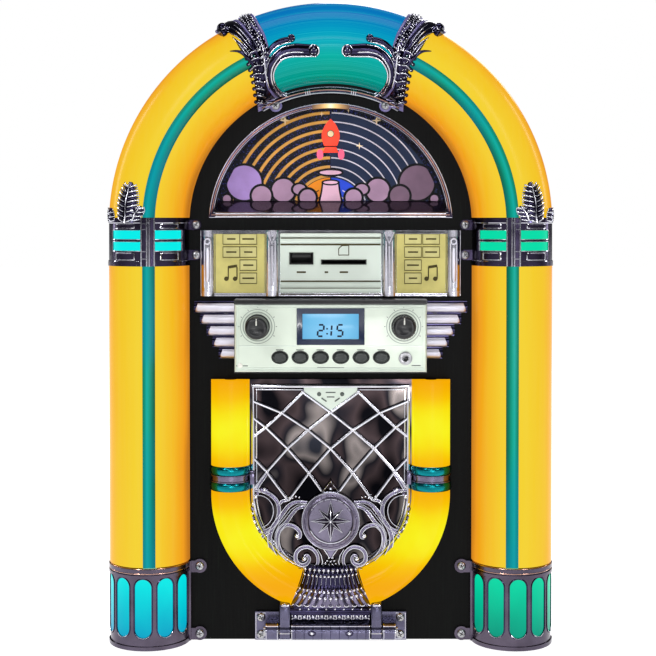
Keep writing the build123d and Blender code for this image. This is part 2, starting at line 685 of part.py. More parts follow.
def tube_ring():
    """Double ring round a door tube with a plain band between."""
    ring = None
    for low, high, r in ((88.9, 94.2, 11.9), (94.2, 97.8, 11.4), (97.8, 103.1, 11.9)):
        section = ring_sector(DOOR_TUBE_R + 0.1, r, 0, 180)
        part = extrude(door_tube_plane(high) * section, high - low)
        ring = part if ring is None else ring + part
    inner = DOOR_TUBE_X - DOOR_TUBE_R
    clasp = box(inner - 3.0, inner - 0.2, GRILLE_Y[0] - 2.0, GRILLE_Y[0] - 0.1, 92.0, 100.0)
    return ring + clasp


GRILLE_Y = (-65.4, -63.3)
WIRE = 1.7
# One side of the lattice: each row is a wire's points from the top downwards, as (x, z).
GRILLE_WIRES = (
    ((15.9, 146.6), (15.9, 144.7), (27.9, 132.9), (37.1, 124.6), (45.0, 119.0)),
    ((15.9, 144.7), (0.0, 133.1), (-12.8, 123.0), (-24.7, 112.6), (-36.6, 99.2), (-45.0, 89.0)),
    ((45.0, 139.7), (27.9, 132.9), (12.8, 123.0), (0.0, 112.5), (-12.5, 98.5), (-18.0, 90.0)),
    ((45.0, 130.2), (37.1, 124.6), (24.7, 112.6), (12.5, 98.5), (5.0, 88.0)),
    ((45.0, 107.5), (36.6, 99.2), (24.1, 82.6)),
)
SCROLLS = ((27.0, 54.0, 12.0), (13.1, 47.7, 5.8), (39.0, 76.0, 7.5), (24.0, 76.0, 6.0), (17.4, 60.0, 4.0))
MEDAL_Z = 71.0
MEDAL_R = 16.7


def grille_outline(inset):
    """Flat outline of the grille, square at the top and round at the bottom."""
    half = GRILLE_HALF - inset
    top = GRILLE_TOP - inset
    return Pos(0, (top + DOOR_Z) / 2) * Rectangle(2 * half, top - DOOR_Z) + Pos(0, DOOR_Z) * Circle(half)


def door_grille():
    """Chrome lattice with scrollwork, moulded as one flat piece."""
    sketch = grille_outline(0) - grille_outline(2.3)
    for wire in GRILLE_WIRES:
        for side in (-1, 1):
            points = [(side * x, z) for x, z in wire]
            sketch += trace([Line(a, b) for a, b in zip(points, points[1:])], WIRE)
    for x, z, r in SCROLLS:
        for side in (-1, 1):
            sketch += Pos(side * x, z) * (Circle(r) - Circle(r - WIRE))
    sketch += Pos(0, MEDAL_Z) * (Circle(MEDAL_R + 0.6) - Circle(MEDAL_R - 2.5))
    grille = front_plate(sketch & grille_outline(0), *GRILLE_Y)
    return grille - box(-28, 28, GRILLE_Y[0] - 1, GRILLE_Y[1] + 1, 20, PEDESTAL_TOP)


STAR_POINTS = 8


def door_medallion():
    """Round boss with a studded rim and an eight-point star."""
    rim = rod_y(0, MEDAL_Z, MEDAL_R, GRILLE_Y[0] - 2.6, GRILLE_Y[0])
    rim -= rod_y(0, MEDAL_Z, 12.9, GRILLE_Y[0] - 4, GRILLE_Y[0] - 1.0)
    points = []
    for i in range(2 * STAR_POINTS):
        if i % 2:
            r = 3.6
        else:
            r = 11.5 if i % 4 == 0 else 9.0
        angle = radians(90 + i * 180 / STAR_POINTS)
        points.append((r * cos(angle), MEDAL_Z + r * sin(angle)))
    return rim + front_plate(polygon(points), GRILLE_Y[0] - 2.2, GRILLE_Y[0] - 0.9)


PEDESTAL_TOP = 46.0
PEDESTAL_OUTLINE = (
    (-15.2, 46.0), (-16.2, 41.0), (-18.6, 35.5), (-22.6, 30.0), (-27.5, 26.0), (-27.5, 19.5),
    (27.5, 19.5), (27.5, 26.0), (22.6, 30.0), (18.6, 35.5), (16.2, 41.0), (15.2, 46.0),
)
ARM_X = (22.7, 29.3)


def door_pedestal():
    """Fluted foot of the door with the two hinge arms."""
    body = front_plate(polygon(PEDESTAL_OUTLINE), -71.5, DOOR_Y[0])
    for i in range(-5, 6):
        body -= rod_z(i * 2.6, -71.9, 0.9, 31, 44)
    for side in (-1, 1):
        low, high = sorted((side * ARM_X[0], side * ARM_X[1]))
        arm = rod_x(HINGE_Y, HINGE_Z, KNUCKLE_R, low, high)
        arm += box(low, high, HINGE_Y - 3.6, HINGE_Y + 4.7, HINGE_Z, 25.0)
        body += arm
        body -= rod_x(HINGE_Y, HINGE_Z, PIN_R + RUNNING, low - 1, high + 1)
    return body - both(door_bend(half_disc(DOOR_TUBE_R + 0.1), DOOR_TUBE_END - 0.3))


def hinge_bracket(low, high, plate_high, places):
    """Foot plate on the panel with a web out to a knuckle round the pin."""
    bracket = box(low, plate_high, PANEL_Y - 2.4, PANEL_Y, 1.5, 17.7)
    bracket += box(low, high, HINGE_Y, PANEL_Y - 1, HINGE_Z - 3.9, HINGE_Z + 3.9)
    bracket += rod_x(HINGE_Y, HINGE_Z, KNUCKLE_R, low, high)
    bracket -= rod_x(HINGE_Y, HINGE_Z, PIN_R, low - 1, high + 1)
    return drill(bracket, places, PANEL_Y - 3, PANEL_Y + 1)


def hinge_brackets():
    end = hinge_bracket(29.7, 37.0, 43.5, HINGE_TABS)
    block = hinge_bracket(-22.3, 22.3, 22.3, BLOCK_TABS)
    return [end, mirror(end, about=Plane.YZ), block]


def hinge_pin():
    pin = rod_x(HINGE_Y, HINGE_Z, PIN_R, -37.0, 37.0)
    return pin + rod_x(HINGE_Y, HINGE_Z, 2.6, -38.2, -37.0) + rod_x(HINGE_Y, HINGE_Z, 2.6, 37.0, 38.2)


# ---- disc player ----
def cd_bay():
    """Round well that the disc drops into, with a lens slot and a hub hole in its floor."""
    bay = rod_y(0, DOOR_Z, WELL_R + WELL_WALL, PANEL_Y, WELL_FLOOR_Y + 1.5)
    bay -= rod_y(0, DOOR_Z, WELL_R, PANEL_Y - 1, WELL_FLOOR_Y)
    bay -= rod_y(0, DOOR_Z, 16.0, WELL_FLOOR_Y - 1, WELL_FLOOR_Y + 3)
    return bay - box(20.5, 62, WELL_FLOOR_Y - 1, WELL_FLOOR_Y + 3, DOOR_Z - 5, DOOR_Z + 5)


def cd_deck():
    """Chassis behind the well with the spindle motor, the sled's rods and the gear's post."""
    deck = box(-18, 96, *DECK_Y, 62, 110)
    for x, z in ((-15, 66), (-15, 107), (40, 107), (40, 65.5)):
        deck += rod_y(x, z, 2.8, WELL_FLOOR_Y + 1.5, DECK_Y[0])
    for low, high in ((11.2, 14.2), (72.5, 76.0)):
        deck += box(low, high, SLED_Y[0], DECK_Y[0], RACK_PITCH_Z + 2.6, 95.5)
    for z in ROD_Z:
        deck += rod_x(ROD_Y, z, ROD_R, 12.0, 75.0)
    deck += rod_y(0, DOOR_Z, 9.5, -44.0, DECK_Y[0])
    deck -= rod_y(0, DOOR_Z, 1.0 + RUNNING, -45, -36.2)
    gear_z = RACK_PITCH_Z - GEAR_MODULE * GEAR_TEETH / 2
    return deck + rod_y(GEAR_X, gear_z, 1.5, GEAR_Y[0] + 0.4, DECK_Y[0])


def spindle_hub():
    """Turntable with a centring boss on the motor's shaft."""
    hub = rod_y(0, DOOR_Z, 14.0, DISC_Y, DISC_Y + 1.4)
    hub += rod_y(0, DOOR_Z, 7.3, DISC_Y - 3.5, DISC_Y)
    hub = chamfer(hub.faces().sort_by(Axis.Y)[0].edges(), 0.8)
    hub += rod_y(0, DOOR_Z, 4.0, DISC_Y + 1.4, -44.4)
    return hub + rod_y(0, DOOR_Z, 1.0, -44.4, -36.6)


RACK_BACKLASH = 0.16      # taken off each side of a tooth


def rack_teeth(x0, count):
    """Row of straight-flanked rack teeth pointing down from the pitch line."""
    pitch = pi * GEAR_MODULE
    slope = tan(radians(20))
    half = pitch / 4 - RACK_BACKLASH
    teeth = None
    for i in range(count):
        x = x0 + i * pitch
        top = half + slope * 1.2 * GEAR_MODULE
        tip = half - slope * 0.9 * GEAR_MODULE
        outline = ((x - top, RACK_PITCH_Z + 1.2), (x + top, RACK_PITCH_Z + 1.2),
                   (x + tip, RACK_PITCH_Z - 0.9), (x - tip, RACK_PITCH_Z - 0.9))
        tooth = front_plate(polygon(outline), *GEAR_Y)
        teeth = tooth if teeth is None else teeth + tooth
    return teeth


def laser_sled():
    """Carriage on two rods with the lens turret in front and a rack along its lower edge."""
    lens_x = 25.0
    sled = box(15.5, 35.5, *SLED_Y, RACK_PITCH_Z + 1.2, 96.5)
    sled += rod_y(lens_x, DOOR_Z, 3.0, -42.5, SLED_Y[0])
    for z in ROD_Z:
        sled -= rod_x(ROD_Y, z, ROD_R + RUNNING, 0, 80)
    sled += box(15.5, 58.0, *GEAR_Y, RACK_PITCH_Z + 1.0, RACK_PITCH_Z + 2.2)
    return sled + rack_teeth(GEAR_X - 11.5 * pi * GEAR_MODULE, 13)


def involute_flank(base_r, pitch_r, tip_r, half_angle, side):
    """Points up one flank of a gear tooth, as (radius, angle)."""
    def spread(r):
        roll = sqrt(max((r / base_r) ** 2 - 1, 0))
        return roll - acos(min(base_r / r, 1))
    points = []
    for i in range(5):
        r = base_r + (tip_r - base_r) * i / 4
        points.append((r, side * (half_angle + spread(pitch_r) - spread(r))))
    return points


def sled_gear():
    """Spur pinion that drives the sled's rack."""
    pitch_r = GEAR_MODULE * GEAR_TEETH / 2
    base_r = pitch_r * cos(radians(20))
    tip_r = pitch_r + 0.9 * GEAR_MODULE
    root_r = pitch_r - 1.25 * GEAR_MODULE
    half = pi / (2 * GEAR_TEETH) - RACK_BACKLASH / pitch_r
    points = []
    for tooth in range(GEAR_TEETH):
        middle = pi / 2 + 2 * pi * tooth / GEAR_TEETH
        up = involute_flank(base_r, pitch_r, tip_r, half, 1)
        down = involute_flank(base_r, pitch_r, tip_r, half, -1)
        edge = [(root_r, down[0][1] - 0.02)] + down + up[::-1] + [(root_r, up[0][1] + 0.02)]
        points += [(r * cos(middle + a), r * sin(middle + a)) for r, a in edge]
    place = Pos(GEAR_X, RACK_PITCH_Z - pitch_r)
    gear = front_plate(place * polygon(points), *GEAR_Y)
    return gear - rod_y(GEAR_X, RACK_PITCH_Z - pitch_r, 1.5 + RUNNING, GEAR_Y[0] - 1, GEAR_Y[1] + 1)


# ---- electronics and sockets ----
def main_board():
    """Amplifier and supply board on standoffs, with its transformer and heat sink."""
    floor = BASE_Z + FLOOR_THICK
    board = box(-80, 80, -20, 70, floor + 6, floor + 7.6)
    for x in (-74, 74):
        for y in (-14, 64):
            board += rod_z(x, y, 3.5, floor, floor + 6)
    board += box(-72, -22, 8, 52, floor + 7.6, floor + 48)
    board += box(-66, -28, 0, 60, floor + 16, floor + 42)
    for i in range(6):
        board += box(20 + 6 * i, 22 + 6 * i, -10, 30, floor + 7.6, floor + 34)
    board += box(20, 52, -10, -7, floor + 7.6, floor + 34)
    for x in (61, 73):
        board += rod_z(x, 50, 5, floor + 7.6, floor + 26)
    return board


def speaker():
    """Side-firing driver: frame ring, cone and magnet in one moulding."""
    y, z, r = SPEAKER
    wall = HALF_WIDTH - SHELL_WALL
    profile = ((0, 14), (10, 12), (r - 5, 3), (r + 3, 3), (r + 3, 0), (r - 3, 0), (r - 3, 1), (12, 9), (0, 9))
    cone = polygon([(out, wall - depth) for out, depth in profile])
    plane = Plane(origin=(0, y, z), x_dir=(0, 1, 0), z_dir=(0, 0, -1))
    driver = revolve(plane * cone, Axis((0, y, z), (1, 0, 0)))
    return driver + rod_x(y, z, 22, wall - 34, wall - 10)


def power_inlet():
    """Figure-eight mains inlet and the frame of the rocker switch."""
    rear = REAR_Y + COVER_THICK
    x, z = INLET
    inlet = box(x - 11.8, x + 11.8, REAR_Y - 14, rear, z - 7.8, z + 7.8)
    inlet += box(x - 14, x + 14, rear, rear + 1.4, z - 9.5, z + 9.5)
    eight = Pos(x, z) * SlotOverall(16.4, 8.0)
    inlet -= front_plate(eight, REAR_Y - 9, rear + 3)
    for side in (-1, 1):
        inlet += rod_y(x + side * 4.3, z, 1.1, REAR_Y - 9.5, rear - 2)
    rx, rz = ROCKER
    switch = box(rx - 7.8, rx + 7.8, REAR_Y - 14, rear, rz - 9.8, rz + 9.8)
    switch += box(rx - 9.4, rx + 9.4, rear, rear + 1.2, rz - 11.5, rz + 11.5)
    switch -= box(rx - 6.0, rx + 6.0, REAR_Y - 10, rear + 3, rz - 8.6, rz + 8.6)
    return [inlet, switch]


ROCKER_Y = 89.6
ROCKER_TILT = 7.0
# Side profile of the key about its pivot, as (rearward, up).
ROCKER_PROFILE = ((-4, -6), (-4, 6), (0, 7.2), (4.2, 7), (3, 0), (4.2, -7), (0, -7.2))


def power_rocker():
    """Rocker key with two flats, resting on its off side."""
    x, z = ROCKER
    side_plane = Plane(origin=(x - 5.6, ROCKER_Y, z), x_dir=(0, 1, 0), z_dir=(1, 0, 0))
    key = extrude(side_plane * polygon(ROCKER_PROFILE), 11.2)
    return key.rotate(Axis((x, ROCKER_Y, z), (1, 0, 0)), -ROCKER_TILT)


def line_jack():
    front = REAR_Y + COVER_THICK + 1.0
    return jack_socket(LINE_JACK, front, REAR_Y + COVER_THICK, front - 16.0, 1)


def trim_screws():
    """Chrome screws of the front trims and the hinge."""
    tip = PANEL_Y + SCREW_DEEP
    group = screws(CAP_TABS + BAND_TABS + RAIL_TABS, PANEL_Y - TAB_THICK, tip, -1)
    return group + screws(HINGE_TABS + BLOCK_TABS, PANEL_Y - 2.4, tip, -1)


def back_screws():
    rear = REAR_Y + COVER_THICK
    return screws(BACK_SCREWS, rear, rear - COVER_THICK, 1)


def mirrored_pair(name, solid):
    """The right-hand solid and its left-hand mirror image as two nodes."""
    return {name + "_left": mirror(solid, about=Plane.YZ), name + "_right": solid}


def nodes():
    """Every node by name. A list is a group of separate solids."""
    table = {
        "cabinet_shell": cabinet_shell(),
        "bottom_board": bottom_board(),
        "front_panel": front_panel(),
        "back_cover": back_cover(),
        "back_screws": back_screws(),
        "rubber_feet": rubber_feet(),
        **mirrored_pair("arch_lens", arch_lens()),
        "arch_lens_top": arch_lens_top(),
        **mirrored_pair("column_lens", column_lens()),
        "lens_stripes": lens_stripes(),
        **mirrored_pair("column_band", column_band()),
        **mirrored_pair("base_cap", base_cap()),
        "accent_lenses": accent_lenses(),
        "light_strips": light_strips(),
        "crest_ornament": crest_ornament(),
        "trim_screws": trim_screws(),
        "dome_bezel": dome_bezel(),
        "dome_window": dome_window(),
        "dome_tray": dome_tray(),
        "art_board": art_board(),
        "selector_frame": selector_frame(),
        "title_cards": title_cards(),
        "media_plate": media_plate(),
        "media_sockets": media_sockets(),
        "control_housing": control_housing(),
        "control_fascia": control_fascia(),
        "lcd_module": lcd_module(),
        "volume_knob": knob(-1, KNOB_LEFT_NOSE, 0),
        "tuning_knob": knob(1, KNOB_RIGHT_NOSE, 24),
        "headphone_jack": headphone_jack(),
        "control_board": control_board(),
        "wing_trims": [wing_trim(), mirror(wing_trim(), about=Plane.YZ)],
        "door_panel": door_panel(),
        "door_tubes": [door_tube(), mirror(door_tube(), about=Plane.YZ)],
        "tube_rings": [tube_ring(), mirror(tube_ring(), about=Plane.YZ)],
        "door_grille": door_grille(),
        "door_medallion": door_medallion(),
        "door_pedestal": door_pedestal(),
        "hinge_brackets": hinge_brackets(),
        "hinge_pin": hinge_pin(),
        "cd_bay": cd_bay(),
        "cd_deck": cd_deck(),
        "spindle_hub": spindle_hub(),
        "laser_sled": laser_sled(),
        "sled_gear": sled_gear(),
        "main_board": main_board(),
        "speakers": [speaker(), mirror(speaker(), about=Plane.YZ)],
        "power_inlet": power_inlet(),
        "power_rocker": power_rocker(),
        "line_jack": line_jack(),
    }
    for index in range(BUTTON_COUNT):
        table[f"button_{index + 1}"] = button(index)
    return table


def write(name, shape):
    """Write one node, keeping each of its solids separate."""
    pieces = shape if isinstance(shape, list) else [shape]
    solids = [solid for piece in pieces for solid in piece.solids()]
    whole = solids[0] if len(solids) == 1 else Compound(solids)
    export_step(whole, f"parts/{name}.step")


os.makedirs("parts", exist_ok=True)
for node_name, node_shape in nodes().items():
    write(node_name, node_shape)
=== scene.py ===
import math

import bmesh
import bpy
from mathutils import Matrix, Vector


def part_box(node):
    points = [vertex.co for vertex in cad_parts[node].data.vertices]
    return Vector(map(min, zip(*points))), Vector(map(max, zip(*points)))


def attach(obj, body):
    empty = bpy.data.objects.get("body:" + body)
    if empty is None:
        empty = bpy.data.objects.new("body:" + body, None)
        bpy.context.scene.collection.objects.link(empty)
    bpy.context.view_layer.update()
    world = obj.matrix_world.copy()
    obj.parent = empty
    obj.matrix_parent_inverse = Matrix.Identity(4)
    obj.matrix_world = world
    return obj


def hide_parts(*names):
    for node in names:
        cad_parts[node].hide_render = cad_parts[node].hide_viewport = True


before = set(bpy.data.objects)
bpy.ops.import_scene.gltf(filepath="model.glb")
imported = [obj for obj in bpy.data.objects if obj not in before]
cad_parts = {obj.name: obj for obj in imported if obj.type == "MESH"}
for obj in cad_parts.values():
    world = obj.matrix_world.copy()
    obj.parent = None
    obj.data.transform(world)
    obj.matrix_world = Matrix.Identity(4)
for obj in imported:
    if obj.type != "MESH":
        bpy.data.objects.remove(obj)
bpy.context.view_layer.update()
MM = 0.001
SCENE = bpy.context.scene
SIDES = ((-1, "left"), (1, "right"))


# ---------------------------------------------------------------- places read from the frame
def ends(node):
    """Lowest and highest corner of a CAD node, in millimetres."""
    return tuple(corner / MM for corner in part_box(node))


COLUMN_LOW, COLUMN_HIGH = ends("column_lens_right")
TUBE_X = (COLUMN_LOW.x + COLUMN_HIGH.x) / 2
TUBE_R = (COLUMN_HIGH.x - COLUMN_LOW.x) / 2
ARCH_Z = ends("arch_lens_top")[1].z - TUBE_X - TUBE_R
SKIRT_Y = COLUMN_HIGH.y
PANEL_Y = ends("front_panel")[0].y
BAND_LOW, BAND_HIGH = ends("column_band_right")
CAP_LOW, CAP_HIGH = ends("base_cap_right")
BAND_R = BAND_HIGH.x - TUBE_X - 0.5
CAP_R = CAP_HIGH.x - TUBE_X - 0.8
DOOR_LOW, DOOR_HIGH = ends("door_panel")
DOOR_TUBE_R = 11.0
DOOR_TUBE_X = DOOR_HIGH.x - DOOR_TUBE_R
DOOR_Z = ends("spindle_hub")[0].z + 14.0
GRILLE_LOW, GRILLE_HIGH = ends("door_grille")
MEDAL_LOW, MEDAL_HIGH = ends("door_medallion")
FASCIA_LOW, FASCIA_HIGH = ends("control_fascia")
SELECT_LOW, SELECT_HIGH = ends("selector_frame")
MEDIA_LOW, MEDIA_HIGH = ends("media_plate")
ART_Y = ends("art_board")[0].y
BEZEL_LOW, BEZEL_HIGH = ends("dome_bezel")
DOME_R = BEZEL_HIGH.x
FRONT = Vector((0, -1, 0))


# ---------------------------------------------------------------- material kit
def srgb(r, g, b):
    """Colour given as 0-255 screen values."""
    def line(v):
        v /= 255
        return v / 12.92 if v <= 0.04045 else ((v + 0.055) / 1.055) ** 2.4
    return (line(r), line(g), line(b), 1.0)


def dimmed(tone, share):
    """The same colour at a share of its brightness."""
    return tuple(c * share for c in tone[:3]) + (1,)


LENS_GLOSS = 0.06
GRAIN_DEPTH = 0.00005


class Nodes:
    """Short hand for one material's node tree."""

    def __init__(self, name, color, rough, metal=0.0, coat=0.0, gloss=None):
        self.mat = bpy.data.materials.new(name)
        self.mat.use_nodes = True
        self.tree = self.mat.node_tree
        self.shader = self.tree.nodes["Principled BSDF"]
        self.set("Base Color", color)
        self.set("Roughness", rough)
        self.set("Metallic", metal)
        self.set("Coat Weight", coat)
        if gloss is not None:
            self.set("Specular IOR Level", gloss)
        self.mat.diffuse_color = color

    def set(self, name, value):
        self.shader.inputs[name].default_value = value

    def node(self, kind, **settings):
        made = self.tree.nodes.new(kind)
        for key, value in settings.items():
            setattr(made, key, value)
        return made

    def link(self, a, b):
        self.tree.links.new(a, b)

    def coords(self, scale=(1, 1, 1)):
        """Object coordinates, stretched."""
        source = self.node("ShaderNodeTexCoord")
        mapping = self.node("ShaderNodeMapping")
        mapping.inputs["Scale"].default_value = scale
        self.link(source.outputs["Object"], mapping.inputs["Vector"])
        return mapping.outputs["Vector"]

    def axes(self):
        """Object coordinates as separate X, Y and Z."""
        source = self.node("ShaderNodeTexCoord")
        parts = self.node("ShaderNodeSeparateXYZ")
        self.link(source.outputs["Object"], parts.inputs[0])
        return parts.outputs

    def feed(self, slot, value):
        """Link an output into a slot, or set a plain value on it."""
        if hasattr(value, "is_linked"):
            self.link(value, slot)
        else:
            slot.default_value = value

    def math(self, operation, a, b=None, clamp=False):
        made = self.node("ShaderNodeMath", operation=operation, use_clamp=clamp)
        for slot, value in zip(made.inputs, (a, b)):
            if value is not None:
                self.feed(slot, value)
        return made.outputs[0]

    def noise(self, vector, scale, detail=3.0, rough=0.5):
        made = self.node("ShaderNodeTexNoise")
        self.link(vector, made.inputs["Vector"])
        made.inputs["Scale"].default_value = scale
        made.inputs["Detail"].default_value = detail
        made.inputs["Roughness"].default_value = rough
        return made.outputs["Fac"]

    def ramp(self, value, stops):
        made = self.node("ShaderNodeValToRGB")
        self.link(value, made.inputs["Fac"])
        elements = made.color_ramp.elements
        while len(elements) < len(stops):
            elements.new(0.5)
        for element, (place, color) in zip(elements, stops):
            element.position = place
            element.color = color
        return made.outputs["Color"]

    def span(self, value, a, b):
        """Value mapped from 0..1 to a..b."""
        made = self.node("ShaderNodeMapRange")
        self.link(value, made.inputs["Value"])
        made.inputs["To Min"].default_value = a
        made.inputs["To Max"].default_value = b
        return made.outputs["Result"]

    def mix(self, factor, a, b):
        made = self.node("ShaderNodeMix", data_type="RGBA")
        for index, value in ((0, factor), (6, a), (7, b)):
            self.feed(made.inputs[index], value)
        return made.outputs[2]

    def bump(self, height, strength, distance):
        made = self.node("ShaderNodeBump")
        made.inputs["Strength"].default_value = strength
        made.inputs["Distance"].default_value = distance
        self.link(height, made.inputs["Height"])
        self.link(made.outputs["Normal"], self.shader.inputs["Normal"])

    def color(self, value, name="Base Color"):
        self.link(value, self.shader.inputs[name])


def plated(name, tone, rough, tarnish):
    """Bright plating with faint smears and an uneven cast surface."""
    kit = Nodes(name, tone, rough, 1.0)
    place = kit.coords()
    smear = kit.noise(place, 60, 4)
    kit.color(kit.ramp(smear, [(0.3, dimmed(tone, tarnish)), (0.65, tone)]))
    kit.color(kit.span(kit.noise(place, 180, 2), rough * 0.7, rough * 1.6), "Roughness")
    kit.bump(kit.noise(place, 240, 2), 0.03, 0.0002)
    return kit.mat


def moulded(name, tone, rough, grain=900, coat=0.0):
    """Moulded plastic with a fine spark texture and slight colour drift."""
    kit = Nodes(name, tone, rough, 0.0, coat)
    place = kit.coords()
    drift = kit.noise(place, 25, 3)
    kit.color(kit.ramp(drift, [(0.35, dimmed(tone, 0.82)), (0.65, tone)]))
    kit.color(kit.span(kit.noise(place, 320, 2), rough * 0.85, min(rough * 1.2, 1)), "Roughness")
    kit.bump(kit.noise(place, grain, 2), 0.3, GRAIN_DEPTH)
    return kit.mat


def tube_place(kit):
    """How far across a lit tube a point lies: 0 at the inner edge, 1 at the outer."""
    parts = kit.axes()
    rise = kit.math("MAXIMUM", kit.math("SUBTRACT", parts["Z"], ARCH_Z * MM), 0.0)
    square = kit.math("ADD", kit.math("POWER", parts["X"], 2.0), kit.math("POWER", rise, 2.0))
    out = kit.math("SQRT", square)
    across = kit.math("DIVIDE", kit.math("SUBTRACT", out, (TUBE_X - TUBE_R) * MM), 2 * TUBE_R * MM, clamp=True)
    return across, parts


def glowing(kit, color, strength):
    """Light from inside: the colour also drives the emission."""
    kit.color(color, "Emission Color")
    kit.set("Emission Strength", strength)


def amber_lens():
    """Lit amber tube: bright middle, deeper orange toward both edges, mottled by the lamps, with pale lines along it
    that are painted highlights.
    """
    kit = Nodes("amber_lens", srgb(60, 30, 2), 0.22, gloss=LENS_GLOSS)
    across = tube_place(kit)[0]
    cloud = kit.noise(kit.coords((1, 1, 0.35)), 28, 2)
    shifted = kit.math("ADD", across, kit.span(cloud, -0.07, 0.07), clamp=True)
    glow = kit.ramp(shifted, [
        (0.0, srgb(200, 116, 12)), (0.05, srgb(252, 160, 10)), (0.16, srgb(255, 194, 20)),
        (0.32, srgb(255, 216, 40)), (0.6, srgb(255, 222, 46)), (0.84, srgb(255, 208, 32)),
        (0.95, srgb(255, 182, 16)), (1.0, srgb(236, 146, 12)),
    ])
    # Pale lines along the tube mixed into the glow: painted highlights.
    painted_highlight_streak = kit.noise(kit.coords((1, 1, 0.04)), 420, 2)
    glowing(kit, kit.mix(kit.span(painted_highlight_streak, 0.0, 0.12), glow, srgb(255, 236, 130)), 0.86)
    kit.bump(kit.noise(kit.coords((1, 1, 0.2)), 60, 2), 0.06, 0.0005)
    return kit.mat


def blue_lens():
    """Lit top segment: blue outside, through cyan to green-teal inside, with thin pale arcs that are painted
    highlights.
    """
    kit = Nodes("blue_lens", srgb(0, 20, 34), 0.16, gloss=LENS_GLOSS)
    across, parts = tube_place(kit)
    glow = kit.ramp(across, [
        (0.0, srgb(0, 120, 104)), (0.08, srgb(0, 164, 136)), (0.3, srgb(0, 188, 172)),
        (0.46, srgb(4, 184, 200)), (0.62, srgb(4, 168, 208)), (0.78, srgb(0, 136, 202)),
        (0.92, srgb(0, 124, 200)), (1.0, srgb(0, 96, 170)),
    ])
    # Thin pale arcs round the segment, mixed into the glow below: painted highlights.
    lines = kit.node("ShaderNodeTexNoise", noise_dimensions="1D")
    kit.link(kit.math("MULTIPLY", across, 34.0), lines.inputs["W"])
    lines.inputs["Detail"].default_value = 1.0
    fine = kit.ramp(lines.outputs["Fac"], [(0.62, (0, 0, 0, 1)), (0.7, (1, 1, 1, 1))])
    side = kit.math("ABSOLUTE", parts["X"])
    near_end = kit.math("MULTIPLY", kit.math("DIVIDE", side, 0.06, clamp=True), 0.5)
    glow = kit.mix(kit.math("MULTIPLY", fine, 0.45), glow, srgb(60, 240, 230))
    glow = kit.mix(kit.math("MULTIPLY", near_end, 0.35), glow, srgb(0, 100, 190))
    glowing(kit, glow, 0.84)
    return kit.mat


def teal_stripe():
    """Lit stripe in the tube's groove: teal with darker edges, bluer in places."""
    kit = Nodes("teal_stripe", srgb(0, 30, 26), 0.2, gloss=LENS_GLOSS)
    across = tube_place(kit)[0]
    centred = kit.math("DIVIDE", kit.math("SUBTRACT", across, 0.375), 0.16, clamp=True)
    glow = kit.ramp(centred, [
        (0.0, srgb(18, 96, 66)), (0.2, srgb(8, 130, 104)), (0.45, srgb(6, 178, 152)),
        (0.6, srgb(20, 190, 176)), (0.8, srgb(10, 150, 120)), (1.0, srgb(30, 120, 70)),
    ])
    blue = kit.noise(kit.coords(), 14, 2)
    glow = kit.mix(kit.ramp(blue, [(0.45, (0, 0, 0, 1)), (0.7, (0.6, 0.6, 0.6, 1))]), glow, srgb(0, 150, 190))
    glowing(kit, glow, 0.8)
    return kit.mat


def cyan_glow():
    """Lit slots: blue-cyan on the left, greener on the right, dimmer toward their ends."""
    kit = Nodes("cyan_glow", srgb(0, 40, 40), 0.3, gloss=LENS_GLOSS)
    parts = kit.axes()
    side = kit.math("GREATER_THAN", parts["X"], 0.0)
    tone = kit.mix(side, srgb(4, 244, 240), srgb(4, 226, 170))
    cloud = kit.math("MULTIPLY", kit.noise(kit.coords((1, 1, 0.6)), 60, 2), 0.35)
    deep = kit.mix(side, srgb(4, 130, 190), srgb(4, 124, 108))
    sunk = kit.math("SUBTRACT", 1.1, kit.math("DIVIDE", parts["Z"], 0.042))
    sunk = kit.math("MULTIPLY", kit.math("ADD", sunk, kit.math("SUBTRACT", cloud, 0.25)), 0.95, clamp=True)
    tone = kit.mix(sunk, tone, deep)
    glowing(kit, tone, 0.92)
    return kit.mat


def door_amber():
    """Door tube: yellow hot spots over the lamps, deeper amber between."""
    kit = Nodes("door_amber", srgb(60, 36, 2), 0.2, gloss=LENS_GLOSS)
    parts = kit.axes()
    wave = kit.math("SINE", kit.math("MULTIPLY", kit.math("ADD", parts["Z"], 0.012), 104.0))
    hot = kit.math("ADD", kit.math("MULTIPLY", wave, 0.5), 0.5)
    cloud = kit.noise(kit.coords(), 50, 2)
    hot = kit.math("MULTIPLY", hot, kit.span(cloud, 0.6, 1.25), clamp=True)
    glow = kit.ramp(hot, [
        (0.0, srgb(252, 176, 2)), (0.35, srgb(255, 202, 4)), (0.7, srgb(255, 236, 20)),
        (1.0, srgb(255, 252, 34)),
    ])
    glowing(kit, glow, 0.9)
    return kit.mat


def front_black():
    """Black foil on board, with a fine upright grain and a faint green sheen."""
    kit = Nodes("front_black", srgb(8, 8, 8), 0.42, gloss=0.08)
    grain = kit.noise(kit.coords((1, 1, 0.03)), 900, 3, 0.7)
    kit.color(kit.ramp(grain, [(0.35, srgb(1, 1, 2)), (0.6, srgb(6, 7, 7)), (0.8, srgb(18, 26, 20))]))
    kit.color(kit.span(grain, 0.3, 0.55), "Roughness")
    kit.bump(grain, 0.25, 0.0001)
    return kit.mat


def vinyl_wrap():
    """Black leather-look wrap of the case."""
    kit = Nodes("vinyl_wrap", srgb(18, 18, 19), 0.55)
    cells = kit.node("ShaderNodeTexVoronoi", feature="DISTANCE_TO_EDGE")
    kit.link(kit.coords(), cells.inputs["Vector"])
    cells.inputs["Scale"].default_value = 620
    kit.color(kit.ramp(kit.noise(kit.coords(), 16, 3), [(0.3, srgb(14, 14, 15)), (0.7, srgb(27, 27, 29))]))
    kit.bump(kit.math("MINIMUM", cells.outputs["Distance"], 0.25), 0.5, 0.0004)
    return kit.mat


